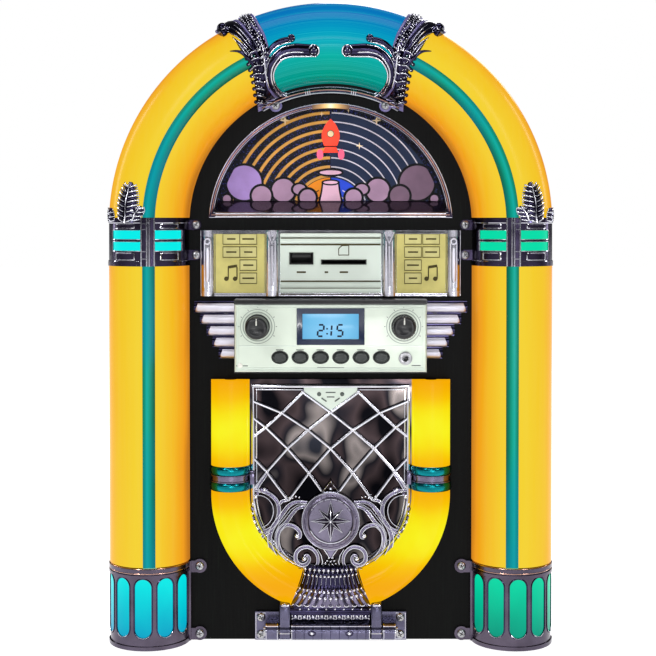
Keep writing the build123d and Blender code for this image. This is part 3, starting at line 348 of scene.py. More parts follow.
def mirror_brown():
    """Dark bronze mirror foil with soft waves; the pale and dark patches in its colour are painted reflections."""
    kit = Nodes("mirror_brown", srgb(96, 84, 84), 0.12, 1.0)
    wave = kit.noise(kit.coords((1, 1, 0.8)), 44, 1)
    # Colour follows the waves in pale and dark patches: painted reflections.
    kit.color(kit.ramp(wave, [
        (0.34, srgb(10, 10, 14)), (0.46, srgb(60, 50, 52)), (0.54, srgb(26, 26, 32)),
        (0.64, srgb(126, 118, 116)), (0.74, srgb(40, 42, 50)),
    ]))
    kit.bump(wave, 0.25, 0.003)
    return kit.mat


def clear_window():
    """Thin clear pane, barely bending the light."""
    kit = Nodes("window_clear", (1, 1, 1, 1), 0.03, 0.0)
    kit.set("Transmission Weight", 1.0)
    kit.set("IOR", 1.15)
    kit.set("Alpha", 0.18)
    kit.bump(kit.noise(kit.coords(), 30, 1), 0.02, 0.0004)
    return kit.mat


def printed(name, tone, speck=None, rough=0.3, glow=0.0):
    """Printed ink: slight mottling, a dot screen where speck is given, and painted light where glow is given: the ink
    shines though it is no lamp.
    """
    kit = Nodes(name, tone, rough, 0.0, gloss=0.15)
    color = kit.ramp(kit.noise(kit.coords(), 90, 3), [(0.3, dimmed(tone, 0.8)), (0.6, tone)])
    if speck:
        dots = kit.node("ShaderNodeTexVoronoi", feature="F1")
        kit.link(kit.coords(), dots.inputs["Vector"])
        dots.inputs["Scale"].default_value = 900
        screen = kit.ramp(dots.outputs["Distance"], [(0.2, (1, 1, 1, 1)), (0.34, (0, 0, 0, 1))])
        color = kit.mix(screen, color, speck)
    kit.color(color)
    # glow makes the ink give off light: painted light, since ink is no lamp.
    if glow:
        glowing(kit, color, glow)
    return kit.mat


def lamp_glow():
    """Warm spill of the window's lamp, brightest over the middle."""
    kit = Nodes("warm_lamp", srgb(90, 64, 40), 0.3, 0.0)
    parts = kit.axes()
    side = kit.math("DIVIDE", kit.math("ABSOLUTE", parts["X"]), 0.0105, clamp=True)
    glowing(kit, kit.ramp(side, [(0.0, srgb(255, 250, 214)), (0.25, srgb(244, 208, 132)), (0.6, srgb(176, 134, 80)),
                                 (1.0, srgb(60, 40, 34))]), 1.1)
    return kit.mat


def lcd_face():
    """Backlit display: brighter toward the lamp at its lower middle."""
    kit = Nodes("lcd_face", srgb(20, 40, 60), 0.15, gloss=0.2)
    parts = kit.axes()
    side = kit.math("DIVIDE", kit.math("ABSOLUTE", parts["X"]), 0.018, clamp=True)
    glow = kit.ramp(side, [(0.0, srgb(140, 210, 250)), (0.6, srgb(122, 200, 240)), (1.0, srgb(98, 178, 224))])
    cells = kit.noise(kit.coords(), 1400, 1)
    glow = kit.mix(kit.span(cells, 0.0, 0.12), glow, srgb(60, 120, 190))
    glowing(kit, glow, 0.95)
    return kit.mat


def circuit():
    """Green board with paler tracks."""
    kit = Nodes("circuit_green", srgb(12, 70, 36), 0.4, 0.0, 0.3)
    tracks = kit.node("ShaderNodeTexBrick")
    kit.link(kit.coords(), tracks.inputs["Vector"])
    tracks.inputs["Scale"].default_value = 120
    tracks.inputs["Color1"].default_value = srgb(12, 74, 38)
    tracks.inputs["Color2"].default_value = srgb(14, 60, 34)
    tracks.inputs["Mortar"].default_value = srgb(30, 104, 58)
    kit.color(tracks.outputs["Color"])
    return kit.mat


def floor_pale():
    """White floor that glows behind the set and far in front of it, to meet the white background."""
    kit = Nodes("floor_pale", (0.9, 0.9, 0.9, 1), 0.8, gloss=0.0)
    shade = kit.ramp(kit.noise(kit.coords(), 2, 2), [(0.3, (0.87, 0.87, 0.87, 1)), (0.7, (0.9, 0.9, 0.9, 1))])
    kit.color(shade)
    parts = kit.axes()
    back = kit.math("ADD", kit.math("MULTIPLY", parts["Y"], 2.6), 1.25, clamp=True)
    far = kit.math("SUBTRACT", kit.math("MULTIPLY", parts["Y"], -2.0), 1.0, clamp=True)
    glow = kit.ramp(kit.math("MAXIMUM", back, far), [(0.0, (0.05, 0.05, 0.05, 1)), (0.9, (0.95, 0.95, 0.95, 1))])
    glowing(kit, glow, 1.0)
    return kit.mat


AMBER = amber_lens()
BLUE = blue_lens()
TEAL = teal_stripe()
CYAN = cyan_glow()
DOOR_AMBER = door_amber()
BOARD_BLACK = front_black()
WRAP = vinyl_wrap()
BRONZE = mirror_brown()
CHROME = plated("chrome", srgb(222, 222, 232), 0.1, 0.7)
CREST_CHROME = plated("crest_chrome", srgb(128, 122, 148), 0.18, 0.6)
NIGHT_CHROME = plated("night_chrome", srgb(62, 58, 88), 0.12, 0.3)
BRONZE_LINE = plated("bronze_line", srgb(204, 158, 140), 0.2, 0.6)
WING_CHROME = plated("wing_chrome", srgb(222, 220, 232), 0.4, 0.85)
CREST_RIM = moulded("crest_rim", srgb(112, 104, 158), 0.28, coat=0.3)
HINGE_CHROME = plated("hinge_chrome", srgb(104, 102, 128), 0.24, 0.5)
DARK_CHROME = plated("dark_chrome", srgb(74, 66, 92), 0.16, 0.5)
STEEL = plated("screw_steel", srgb(176, 176, 180), 0.28, 0.8)
SATIN = plated("socket_metal", srgb(190, 190, 192), 0.35, 0.85)
BLACK = moulded("black_plastic", srgb(12, 13, 18), 0.3, coat=0.08)
RIM_BLACK = moulded("rim_black", srgb(30, 34, 34), 0.4)
KEY_GREY = moulded("key_grey", srgb(34, 42, 40), 0.35, coat=0.1)
WELL_BLACK = moulded("well_black", srgb(22, 22, 23), 0.6)
RUBBER = moulded("rubber", srgb(24, 24, 24), 0.85, 500)
SILVER = moulded("silver_plastic", srgb(226, 238, 226), 0.3, coat=0.2)
FASCIA = moulded("fascia_silver", srgb(228, 240, 224), 0.32, coat=0.2)
# The title paper glows faintly: painted light.
CARD = printed("title_paper", srgb(206, 196, 120), rough=0.45, glow=0.08)
CARD_LIGHT = printed("title_label", srgb(214, 206, 138), rough=0.4)
INK = printed("ink_brown", srgb(74, 66, 34), rough=0.5)
WINDOW = clear_window()
LCD = lcd_face()
LCD_DARK = printed("lcd_digits", srgb(10, 22, 52), rough=0.3)
NAVY = moulded("navy_bezel", srgb(20, 34, 66), 0.2, coat=0.5)
CIRCUIT = circuit()
CONE = moulded("cone_black", srgb(26, 26, 28), 0.75)
LED = printed("led_white", srgb(236, 236, 226), rough=0.4)
# The picture's inks glow: painted light on the print behind the window.
NIGHT = printed("picture_night", srgb(10, 10, 20), srgb(44, 52, 120), 0.35, 0.4)
NIGHT_PLAIN = printed("picture_dusk", srgb(26, 38, 66), rough=0.35, glow=0.3)
GOLD = printed("picture_gold", srgb(196, 142, 66), rough=0.35, glow=0.4)
SILVER_INK = printed("picture_silver", srgb(196, 190, 200), rough=0.3, glow=0.35)
ORANGE = printed("picture_orange", srgb(216, 128, 24), rough=0.35, glow=0.5)
BLUE_INK = printed("picture_blue", srgb(34, 66, 190), rough=0.35, glow=0.5)
PURPLE = printed("picture_purple", srgb(160, 130, 190), rough=0.35, glow=0.35)
MAUVE = printed("picture_mauve", srgb(168, 134, 162), rough=0.35, glow=0.3)
MAUVE_DIM = printed("picture_mauve_dim", srgb(118, 92, 112), rough=0.35, glow=0.3)
PINK = printed("picture_pink", srgb(214, 170, 192), rough=0.35, glow=0.35)
CREAM = printed("picture_cream", srgb(240, 214, 170), rough=0.35, glow=0.15)
ROCKET_RED = printed("picture_red", srgb(232, 66, 44), rough=0.3, glow=0.6)
ROCKET_PINK = printed("picture_booster", srgb(236, 96, 130), rough=0.3, glow=0.5)
DARK_INK = printed("picture_black", srgb(5, 5, 10), rough=0.4)
WARM_LAMP = lamp_glow()
INK_GREY = printed("ink_grey", srgb(96, 104, 100), rough=0.4)
# Darker copy of the fascia's silver, for the rings round the knobs: painted shade.
SILVER_DARK = moulded("silver_shadow", srgb(150, 162, 152), 0.35)
RING_TEAL = plated("ring_teal", srgb(20, 130, 140), 0.2, 0.7)
STAR_CHROME = plated("star_chrome", srgb(84, 76, 96), 0.34, 0.5)
MEDAL_CHROME = plated("medal_chrome", srgb(122, 116, 136), 0.26, 0.6)
CAP_CHROME = plated("cap_chrome", srgb(92, 84, 100), 0.2, 0.6)
TRAY = moulded("tray_gloss", srgb(38, 30, 44), 0.12, coat=0.6)
BACK_BOARD = moulded("back_board", srgb(26, 25, 24), 0.7, 700)


# ---------------------------------------------------------------- mesh kit, in millimetres
def piece(name, bm, body, material, stands_for=(), smooth=38, bevel=None):
    """Turn a bmesh drawn in millimetres into a piece that rides on a body."""
    bmesh.ops.recalc_face_normals(bm, faces=bm.faces)
    bmesh.ops.scale(bm, vec=(MM, MM, MM), verts=bm.verts)
    mesh = bpy.data.meshes.new(name)
    bm.to_mesh(mesh)
    bm.free()
    mesh.shade_smooth()
    mesh.set_sharp_from_angle(angle=math.radians(smooth))
    made = bpy.data.objects.new(name, mesh)
    SCENE.collection.objects.link(made)
    mesh.materials.append(material)
    if bevel:
        edge = made.modifiers.new("edge", "BEVEL")
        edge.width = bevel * MM
        edge.segments = 2
        edge.limit_method = "ANGLE"
        edge.angle_limit = math.radians(35)
    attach(made, body)
    if stands_for:
        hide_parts(*stands_for)
    return made


def skin(bm, rows, wrap_rows=False, wrap_cols=False, caps=False):
    """Quads between rows of points. Caps close the first and last row."""
    made = [[bm.verts.new(p) for p in row] for row in rows]
    count = len(made[0])
    row_pairs = list(zip(made, made[1:]))
    if wrap_rows:
        row_pairs.append((made[-1], made[0]))
    for a, b in row_pairs:
        for i in range(count if wrap_cols else count - 1):
            j = (i + 1) % count
            bm.faces.new((a[i], a[j], b[j], b[i]))
    if caps:
        bm.faces.new(made[0][::-1])
        bm.faces.new(made[-1])


def smooth_path(points, steps=6):
    """Catmull-Rom curve through 2-D or 3-D points."""
    pts = [Vector(p) for p in points]
    last = len(pts) - 1
    result = []
    for i in range(last):
        a, b, c, d = pts[max(i - 1, 0)], pts[i], pts[i + 1], pts[min(i + 2, last)]
        for s in range(steps):
            t = s / steps
            even = 2 * b + (c - a) * t
            bend = (2 * a - 5 * b + 4 * c - d) * t ** 2 + (3 * b - a - 3 * c + d) * t ** 3
            result.append(0.5 * (even + bend))
    return result + [pts[-1]]


def spread(values, count):
    """Short list of values interpolated to a given count."""
    if not hasattr(values, "__len__"):
        return [values] * count
    result = []
    for i in range(count):
        t = i / max(count - 1, 1) * (len(values) - 1)
        k = min(int(t), len(values) - 2)
        result.append(values[k] + (values[k + 1] - values[k]) * (t - k))
    return result


def rod(bm, points, radius, sides=8, flat=1.0, closed=False):
    """Round bar along 3-D points. radius may be a list; flat squeezes it front to back."""
    pts = [Vector(p) for p in points]
    n = len(pts)
    radii = spread(radius, n)
    rows = []
    for i, p in enumerate(pts):
        if closed:
            ahead = pts[(i + 1) % n] - pts[i - 1]
        else:
            ahead = pts[min(i + 1, n - 1)] - pts[max(i - 1, 0)]
        ahead.normalize()
        across = ahead.cross(FRONT)
        if across.length < 1e-3:
            across = ahead.cross(Vector((1, 0, 0)))
        across.normalize()
        rise = across.cross(ahead).normalized()
        row = []
        for k in range(sides):
            a = 2 * math.pi * k / sides
            row.append(p + across * math.cos(a) * radii[i] + rise * math.sin(a) * radii[i] * flat)
        rows.append(row)
    skin(bm, rows, wrap_rows=closed, wrap_cols=True, caps=not closed)


def ball(bm, centre, radius, squash=1.0, segments=12):
    """Bead, squashed front to back."""
    made = bmesh.ops.create_uvsphere(bm, u_segments=segments, v_segments=max(6, segments // 2), radius=radius)
    for v in made["verts"]:
        v.co.y *= squash
        v.co += Vector(centre)


def block(bm, lo, hi, bevel=0.0):
    """Box between two corners, with rounded edges."""
    made = bmesh.ops.create_cube(bm, size=1.0)["verts"]
    lo, hi = Vector(lo), Vector(hi)
    for v in made:
        v.co = Vector([lo[k] + (v.co[k] + 0.5) * (hi[k] - lo[k]) for k in range(3)])
    if bevel:
        edges = {e for v in made for e in v.link_edges}
        bmesh.ops.bevel(bm, geom=list(edges), offset=bevel, segments=2, profile=0.5, affect="EDGES")


def plate(bm, outline, y_front, y_back, bevel=0.0):
    """Flat shape seen from the front, extruded back, with a rounded front edge."""
    front = [bm.verts.new((x, y_front, z)) for x, z in outline]
    back = [bm.verts.new((x, y_back, z)) for x, z in outline]
    face = bm.faces.new(front)
    bm.faces.new(back[::-1])
    n = len(front)
    for i in range(n):
        j = (i + 1) % n
        bm.faces.new((front[j], front[i], back[i], back[j]))
    if bevel:
        bmesh.ops.bevel(bm, geom=list(face.edges), offset=bevel, segments=2, profile=0.5, affect="EDGES")


def spun(bm, profile, x, z, steps=48):
    """Profile of (radius, y) turned about an axis along Y through x, z."""
    rows = []
    for k in range(steps):
        a = 2 * math.pi * k / steps
        rows.append([Vector((x + r * math.cos(a), y, z + r * math.sin(a))) for r, y in profile])
    before = set(bm.verts)
    skin(bm, rows, wrap_rows=True)
    fresh = [v for v in bm.verts if v not in before]
    bmesh.ops.remove_doubles(bm, verts=fresh, dist=1e-5)


def circle(x, z, r, steps=32, start=0.0, sweep=360.0, tall=1.0):
    """Points of a circle or of an arc with both its ends, in degrees."""
    count = steps if sweep >= 360 else steps + 1
    result = []
    for k in range(count):
        a = math.radians(start + sweep * k / steps)
        result.append((x + r * math.cos(a), z + r * tall * math.sin(a)))
    return result


def polar(r, deg):
    """Point at a radius and an angle in degrees."""
    a = math.radians(deg)
    return r * math.cos(a), r * math.sin(a)


def rectangle(x0, z0, x1, z1):
    """Corners of an upright rectangle seen from the front."""
    return [(x0, z0), (x1, z0), (x1, z1), (x0, z1)]


def half_ring(x, y, r, z, step=6):
    """Points round the front half of an upright tube, every so many degrees."""
    return [Vector((x + u, y - v, z)) for u, v in (polar(r, deg) for deg in range(0, 181, step))]


def level(bm, x0, x1, y, z, wire, sides=6, flat=1.0):
    """Level bar across the front."""
    rod(bm, [(x0, y, z), (x1, y, z)], wire, sides, flat)


def raised(points, y):
    """Front-view points at one depth."""
    return [Vector((x, y, z)) for x, z in points]


def mirrored(points, side):
    """Right-hand places moved to the given side."""
    return [(side * p[0], *p[1:]) for p in points]


def ring_path(out_x, z, r, start=0.0, end=180.0, steps=48):
    """Arc round an upright tube: 0 degrees points outward and 90 forward. out_x is signed."""
    side = math.copysign(1, out_x)
    result = []
    for k in range(steps + 1):
        a = math.radians(start + (end - start) * k / steps)
        result.append(Vector((out_x + side * r * math.cos(a), PANEL_Y - r * math.sin(a), z)))
    return result


def tube_point(x, z, lift):
    """Point above the lit tube or the panel, under a place seen from the front."""
    if z > ARCH_Z:
        out = Vector((x, 0, z - ARCH_Z))
        reach = out.length
        out.normalize()
        centre = out * TUBE_X + Vector((0, PANEL_Y, ARCH_Z))
    else:
        out = Vector((math.copysign(1, x), 0, 0))
        reach = abs(x)
        centre = out * TUBE_X + Vector((0, PANEL_Y, z))
    s = (reach - TUBE_X) / TUBE_R
    if s < -1:
        return Vector((x, PANEL_Y - lift, z))
    s = min(s, 0.99)
    normal = out * s + FRONT * math.sqrt(1 - s * s)
    return centre + normal * (TUBE_R + lift)


def hug(points, lift, side=1, steps=6):
    """Smooth path over the lit tube from front-view points."""
    flat = smooth_path(points, steps)
    return [tube_point(side * p[0], p[1], h) for p, h in zip(flat, spread(lift, len(flat)))]


# ---------------------------------------------------------------- lit tubes
LENS_WALL = 2.2
STRIPE_HALF = 8.8
STRIPE_AT = 96.0
STRIPE_DEEP = 1.2
STRIPE_PROUD = 0.3
TOP_ANGLE = 21.0


def lens_section(grooved):
    """Closed outline of the half-round lens as (outward, forward), with its skirt and groove."""
    outer = []
    for k in range(61):
        a = 180 - 3 * k
        if grooved and abs(a - STRIPE_AT) < STRIPE_HALF:
            continue
        outer.append((TUBE_R, a))
    if grooved:
        at = next(i for i, (r, a) in enumerate(outer) if a < STRIPE_AT)
        low, high = STRIPE_AT - STRIPE_HALF, STRIPE_AT + STRIPE_HALF
        edge = [(TUBE_R, high), (TUBE_R - STRIPE_DEEP, high), (TUBE_R - STRIPE_DEEP, STRIPE_AT),
                (TUBE_R - STRIPE_DEEP, low), (TUBE_R, low)]
        outer[at:at] = edge
    inner = [(TUBE_R - LENS_WALL, 3 * k) for k in range(61)]
    points = [polar(r, a) for r, a in outer]
    skirt = SKIRT_Y - PANEL_Y
    points += [(TUBE_R, -skirt), (TUBE_R - LENS_WALL, -skirt)]
    points += [polar(r, a) for r, a in inner]
    return points


def stripe_section():
    """Strip that fills the groove, slightly proud with softened edges."""
    result = []
    for k in range(13):
        proud = STRIPE_PROUD * (1 if 0 < k < 12 else 0.2)
        result.append(polar(TUBE_R + proud, STRIPE_AT + STRIPE_HALF * (1 - k / 6)))
    result += [polar(TUBE_R - STRIPE_DEEP, STRIPE_AT - STRIPE_HALF * (1 - k / 6)) for k in range(13)]
    return result


def column_frames(side, z0, z1, steps):
    """Stations up a column, each a centre and its outward direction."""
    out = Vector((side, 0, 0))
    return [(Vector((side * TUBE_X, PANEL_Y, z0 + (z1 - z0) * k / steps)), out) for k in range(steps + 1)]


def arch_frames(side, start, end, steps):
    """Stations round the arch, in degrees up from the horizontal on one side."""
    result = []
    for k in range(steps + 1):
        a = math.radians(start + (end - start) * k / steps)
        out = Vector((side * math.cos(a), 0, math.sin(a)))
        result.append((out * TUBE_X + Vector((0, PANEL_Y, ARCH_Z)), out))
    return result


def swept(bm, frames, section):
    """Section carried through a row of stations."""
    rows = [[centre + out * u + FRONT * v for u, v in section] for centre, out in frames]
    skin(bm, rows, wrap_cols=True, caps=True)


def keep_above(bm, z):
    """Remove everything below a level and close the cut."""
    geom = list(bm.verts) + list(bm.edges) + list(bm.faces)
    cut = bmesh.ops.bisect_plane(bm, geom=geom, plane_co=(0, 0, z), plane_no=(0, 0, 1), clear_inner=True)
    edges = [e for e in cut["geom_cut"] if isinstance(e, bmesh.types.BMEdge)]
    bmesh.ops.holes_fill(bm, edges=edges, sides=0)


def lit_tubes():
    """Amber columns and arch quarters with their teal stripes, and the blue top of the arch."""
    for side, name in SIDES:
        for part, section, tone, node, slot in (("tube", lens_section(True), AMBER, "{}_lens_" + name, "amber_lens"),
                                                ("stripe", stripe_section(), TEAL, "lens_stripes", "teal_stripe")):
            bm = bmesh.new()
            swept(bm, column_frames(side, CAP_HIGH.z, BAND_LOW.z, 12), section)
            piece(f"column_{part}_{name}", bm, "cabinet", tone, [node.format("column")])
            bm = bmesh.new()
            swept(bm, arch_frames(side, 0.5, 90 - TOP_ANGLE - 0.1, 96), section)
            keep_above(bm, BAND_HIGH.z)
            piece(f"arch_{part}_{name}", bm, "cabinet", tone, [node.format("arch")])
    bm = bmesh.new()
    swept(bm, arch_frames(1, 90 - TOP_ANGLE, 90 + TOP_ANGLE, 64), lens_section(False))
    piece("arch_top_tube", bm, "cabinet", BLUE, ["arch_lens_top"])


# ---------------------------------------------------------------- bands and base caps
BAND_SLOTS_Z = ((226.0, 231.0), (232.5, 237.5))
BAND_SLOTS_DEG = ((35.0, 85.0), (105.0, 149.0))
BAND_SCREWS = ((77.2, 240.5), (77.2, 223.2))
CAP_SCREWS = ((75.4, 44.0), (75.4, 5.0))
CREST_SCREW = (31.4, 308.8)
HINGE_SCREWS = ((40.0, 4.8), (40.0, 14.6), (10.6, 15.6))
WING_SCREWS = ((60.0, 191.0), (60.0, 166.0))
BAND_POSTS_DEG = (86.2, 93.8, 97.2, 103.8)
CAP_SLOT = (33.0, 9.4)
CAP_SLOT_Z = 24.8
SLOT_STEPS = 10
CAP_SLOTS_DEG = (21.0, 54.0, 87.0, 120.0, 153.0)


def framed_slot(bm, out_x, z0, z1, start, end, r, wire):
    """Raised rounded frame round a slot in a band."""
    bottom = ring_path(out_x, z0, r, start, end, 14)
    top = ring_path(out_x, z1, r, start, end, 14)
    rod(bm, bottom + top[::-1], wire, 6, closed=True)


def leaf_point(out_x, deg, z, h):
    """Point over a column tube, or over the arch above it."""
    side = math.copysign(1, out_x)
    a = math.radians(deg)
    r = TUBE_R + h
    if z <= ARCH_Z:
        return Vector((out_x + side * r * math.cos(a), PANEL_Y - r * math.sin(a), z))
    turn = (z - ARCH_Z) / TUBE_X
    out = Vector((side * math.cos(turn), 0, math.sin(turn)))
    return out * (TUBE_X + r * math.cos(a)) + Vector((0, PANEL_Y - r * math.sin(a), ARCH_Z))


def leaf(body, lines, out_x, base, tip, width, barbs):
    """Acanthus leaf on a tube: a dark blade, a bright spine and rows of small round-ended barbs, dark and bright by
    turns; the dark and the bright chrome are painted shade and painted highlights.
    """
    def at(t, off, h):
        return leaf_point(out_x, base[0] + (tip[0] - base[0]) * t + off, base[1] + (tip[1] - base[1]) * t, h)

    rows = []
    for k in range(15):
        t = k / 14
        half = width * math.sqrt(max(0.03, 1 - t ** 3)) * (0.75 + 0.25 * math.sin(3 * t))
        rows.append([at(t, half * (j / 6 - 1), 0.3 + 1.5 * math.sin(math.pi * j / 12)) for j in range(13)])
    skin(body, rows)
    rod(lines, [at(k / 12, 0.6 * math.sin(0.8 * k), 2.3) for k in range(13)], [0.55, 0.5, 0.3], 6)
    for k in range(barbs):
        t = 0.03 + 0.9 * k / barbs
        reach = width * math.sqrt(max(0.05, 1 - t ** 3)) * (0.8 + 0.25 * math.sin(3 * t))
        for way in (-1, 1):
            path = [at(t + 0.085 * j / 4, way * reach * (0.16 + 0.95 * j / 4), 2.2 - 0.32 * j) for j in range(5)]
            # Barbs alternate dark and bright chrome: painted shade and painted highlights.
            rod(body if k % 2 else lines, path, [0.4, 0.6, 0.62, 0.45], 6)
            ball(lines, path[-1], 0.52, segments=8)


def bands():
    """Mouldings, slot frames, bright frames of painted reflection above and below the slots, and leaves on the two dark
    bands.
    """
    for side, name in SIDES:
        out_x = side * TUBE_X
        bm = bmesh.new()
        for z, r, wire in ((BAND_LOW.z + 0.8, BAND_R - 0.25, 0.75), (BAND_LOW.z + 2.6, BAND_R, 0.45),
                           (BAND_HIGH.z - 0.8, BAND_R - 0.25, 0.75), (BAND_HIGH.z - 2.8, BAND_R, 0.45)):
            rod(bm, ring_path(out_x, z, r, 0, 180), wire, 8)
        for start, end in BAND_SLOTS_DEG:
            for z0, z1 in BAND_SLOTS_Z:
                framed_slot(bm, out_x, z0 - 0.15, z1 + 0.15, start - 0.6, end + 0.6, BAND_R + 0.1, 0.34)
            # Bright chrome frames on the panels above and below the slots: painted reflections on the band.
            middle = (start + end) / 2
            wide = 0.32 * (end - start)
            for z0, z1 in ((BAND_LOW.z + 3.6, BAND_SLOTS_Z[0][0] - 1.3), (BAND_SLOTS_Z[1][1] + 1.2, BAND_HIGH.z - 3.7)):
                framed_slot(bm, out_x, z0, z1, middle - wide, middle + wide, BAND_R + 0.2, 0.42)
        for deg in BAND_POSTS_DEG:
            foot, head = (ring_path(out_x, z, BAND_R + 0.9, deg, deg, 1)[0] for z in (BAND_LOW.z, BAND_HIGH.z))
            rod(bm, [foot, head], 0.5, 8)
        for z in (BAND_LOW.z + 4.2, BAND_SLOTS_Z[0][0] - 0.4, BAND_SLOTS_Z[1][1] + 0.5, BAND_HIGH.z - 3.4):
            rod(bm, ring_path(out_x, z, BAND_R + 0.9, 86, 94, 4), 0.4, 6)
        piece(f"band_mouldings_{name}", bm, "cabinet", CHROME)
        body, lines = bmesh.new(), bmesh.new()
        top = BAND_HIGH.z
        leaf(body, lines, out_x, (64, top - 3.0), (65, top + 18.0), 15, 15)
        leaf(body, lines, out_x, (74, top - 2.0), (84, top + 6.4), 9, 7)
        leaf(body, lines, out_x, (34, top - 2.6), (30, top + 4.0), 9, 6)
        # Dark chrome blades and bright chrome veins and barbs: painted shade and painted highlights on one casting.
        piece(f"band_leaves_{name}", body, "cabinet", NIGHT_CHROME, smooth=60)
        piece(f"band_leaf_veins_painted_highlight_{name}", lines, "cabinet", CHROME, smooth=60)


def stadium_ring(out_x, angle, grow, r):
    """Closed path round an upright slot in a base cap."""
    side = math.copysign(1, out_x)
    half_wide = CAP_SLOT[1] / 2 + grow
    straight = (CAP_SLOT[0] - CAP_SLOT[1]) / 2
    result = []
    for start, shift in ((0, straight), (180, -straight)):
        for k in range(SLOT_STEPS + 1):
            u, v = polar(half_wide, start + 180 * k / SLOT_STEPS)
            a = math.radians(angle) + u / r
            result.append(Vector((out_x + side * r * math.cos(a), PANEL_Y - r * math.sin(a), CAP_SLOT_Z + shift + v)))
    return result


def base_caps():
    """Rings and slot rims on the two base caps, with painted glints along the lower end of each slot."""
    for side, name in SIDES:
        out_x = side * TUBE_X
        bm = bmesh.new()
        rod(bm, ring_path(out_x, 46.2, CAP_R + 0.3, 0, 180), 0.5, 10)
        rod(bm, ring_path(out_x, 42.8, CAP_R + 0.5, 4, 176), 0.26, 8)
        # Bright chrome arcs along the lower end of each slot: painted glints.
        for angle in CAP_SLOTS_DEG:
            painted_glint_arc = stadium_ring(out_x, angle, 0.35, CAP_R + 0.1)[SLOT_STEPS + 1:]
            rod(bm, painted_glint_arc, [0.1, 0.34, 0.34, 0.1], 8)
        piece(f"cap_mouldings_{name}", bm, "cabinet", CHROME)
        bm = bmesh.new()
        rod(bm, ring_path(out_x, 46.9, CAP_R - 0.3, 0, 180), 0.45, 8)
        rod(bm, ring_path(out_x, 44.6, CAP_R + 0.45, 0, 180), 0.3, 8)
        piece(f"cap_bronze_{name}", bm, "cabinet", BRONZE_LINE)
        bm = bmesh.new()
        rod(bm, ring_path(out_x, CAP_LOW.z + 1.0, CAP_R + 0.2, 0, 180), 0.6, 10)
        for angle in CAP_SLOTS_DEG:
            rod(bm, stadium_ring(out_x, angle, 0.5, CAP_R), 0.42, 8, closed=True)
        piece(f"cap_rims_{name}", bm, "cabinet", NIGHT_CHROME)


def screw_heads():
    """Domed heads with a cross recess, over every front screw; the recess is drawn as black bars, painted shade."""
    places = [(x, z, seat) for screws, seat in ((CAP_SCREWS + BAND_SCREWS + (CREST_SCREW,), 1.6), (HINGE_SCREWS, 2.4),
                                                (WING_SCREWS, 0.0)) for x, z in screws]
    bm = bmesh.new()
    for x, z, seat in places:
        for side in (-1, 1):
            y = PANEL_Y - seat
            profile = [(2.5, y + 0.1), (2.5, y - 0.5), (2.2, y - 1.1), (1.5, y - 1.5), (0.0, y - 1.7)]
            spun(bm, profile, side * x, z, 20)
    piece("screw_heads", bm, "cabinet", STEEL, ["trim_screws"], smooth=50)
    # Black bars in a cross on each head: painted shade of the recess.
    bm = bmesh.new()
    for index, (x, z, seat) in enumerate(places):
        for side in (-1, 1):
            turn = math.radians(37 * index + 20 * side)
            for quarter in (0, 90):
                a = turn + math.radians(quarter)
                along = Vector((math.cos(a), 0, math.sin(a)))
                centre = Vector((side * x, PANEL_Y - seat - 1.55, z))
                rod(bm, [centre - along * 1.25, centre + along * 1.25], 0.3, 6)
    piece("screw_recess_shade", bm, "cabinet", WELL_BLACK)


# ---------------------------------------------------------------- crest
RAIL_R = (75.5, 79.6)
RAIL_HALF_DEG = 30.5
# Front-view places on the right-hand crest; the left-hand one is its mirror image.
PLUME_OUTER = ((60.5, 346.6), (63.8, 348.4), (65.0, 352.0), (63.0, 355.8), (59.5, 357.2), (55.5, 357.0), (50.5, 353.0),
               (46.5, 348.0), (43.0, 343.5), (40.0, 338.0), (38.5, 331.0))
PLUME_INNER = ((60.3, 346.4), (58.6, 347.4), (58.0, 348.6), (57.2, 348.6), (55.6, 347.4), (53.6, 346.2), (50.5, 343.8),
               (47.0, 340.0), (44.0, 336.5), (42.0, 333.5), (40.4, 329.0))
BEADED_OUTER = ((52.0, 356.6), (49.4, 352.6), (46.5, 348.5), (42.5, 342.5), (40.0, 337.0), (38.8, 330.0))
BEADED_INNER = ((44.2, 358.2), (42.2, 354.8), (40.0, 351.0), (37.2, 346.0), (34.8, 339.5), (33.6, 332.0))
LOWER_OUTER = ((54.8, 345.0), (49.8, 342.4), (45.8, 338.6), (42.4, 334.0), (41.2, 330.0))
LOWER_INNER = ((53.6, 344.0), (51.2, 339.6), (48.4, 335.4), (45.6, 332.0), (43.4, 328.0))
THORN = ((56.0, 337.2), (51.0, 336.8), (47.0, 334.4), (43.0, 330.0), (41.0, 326.0))
BODY_OUTER = ((45.4, 333.4), (44.2, 329.2), (43.4, 325.2), (42.8, 320.6), (42.4, 316.0), (42.2, 311.0), (42.0, 307.0))
BODY_INNER = ((36.6, 335.0), (35.6, 331.0), (35.4, 327.0), (35.0, 322.0), (33.4, 318.0), (30.0, 314.6), (27.6, 312.6))
BARB_TIPS = ((46.8, 333.0), (46.0, 330.0), (45.2, 327.0), (44.4, 324.0), (43.8, 320.8), (43.4, 317.6), (43.2, 314.4),
             (43.0, 311.2))
BARB_ROOTS = ((40.6, 337.0), (39.6, 333.5), (39.0, 330.0), (38.6, 326.0), (38.2, 322.0), (37.8, 318.5), (37.4, 315.0),
              (36.6, 311.8))
NECK_OUTER = ((8.4, 341.0), (14.0, 341.4), (20.0, 341.6), (26.5, 340.2), (31.6, 336.6), (35.4, 331.6), (37.0, 325.0),
              (36.0, 319.6), (32.8, 315.6), (28.4, 312.6))
NECK_INNER = ((9.4, 335.2), (16.0, 335.0), (22.0, 334.8), (26.8, 333.4), (30.4, 330.0), (32.4, 325.6), (31.8, 321.0),
              (29.4, 318.0), (26.0, 316.0), (23.0, 314.6))
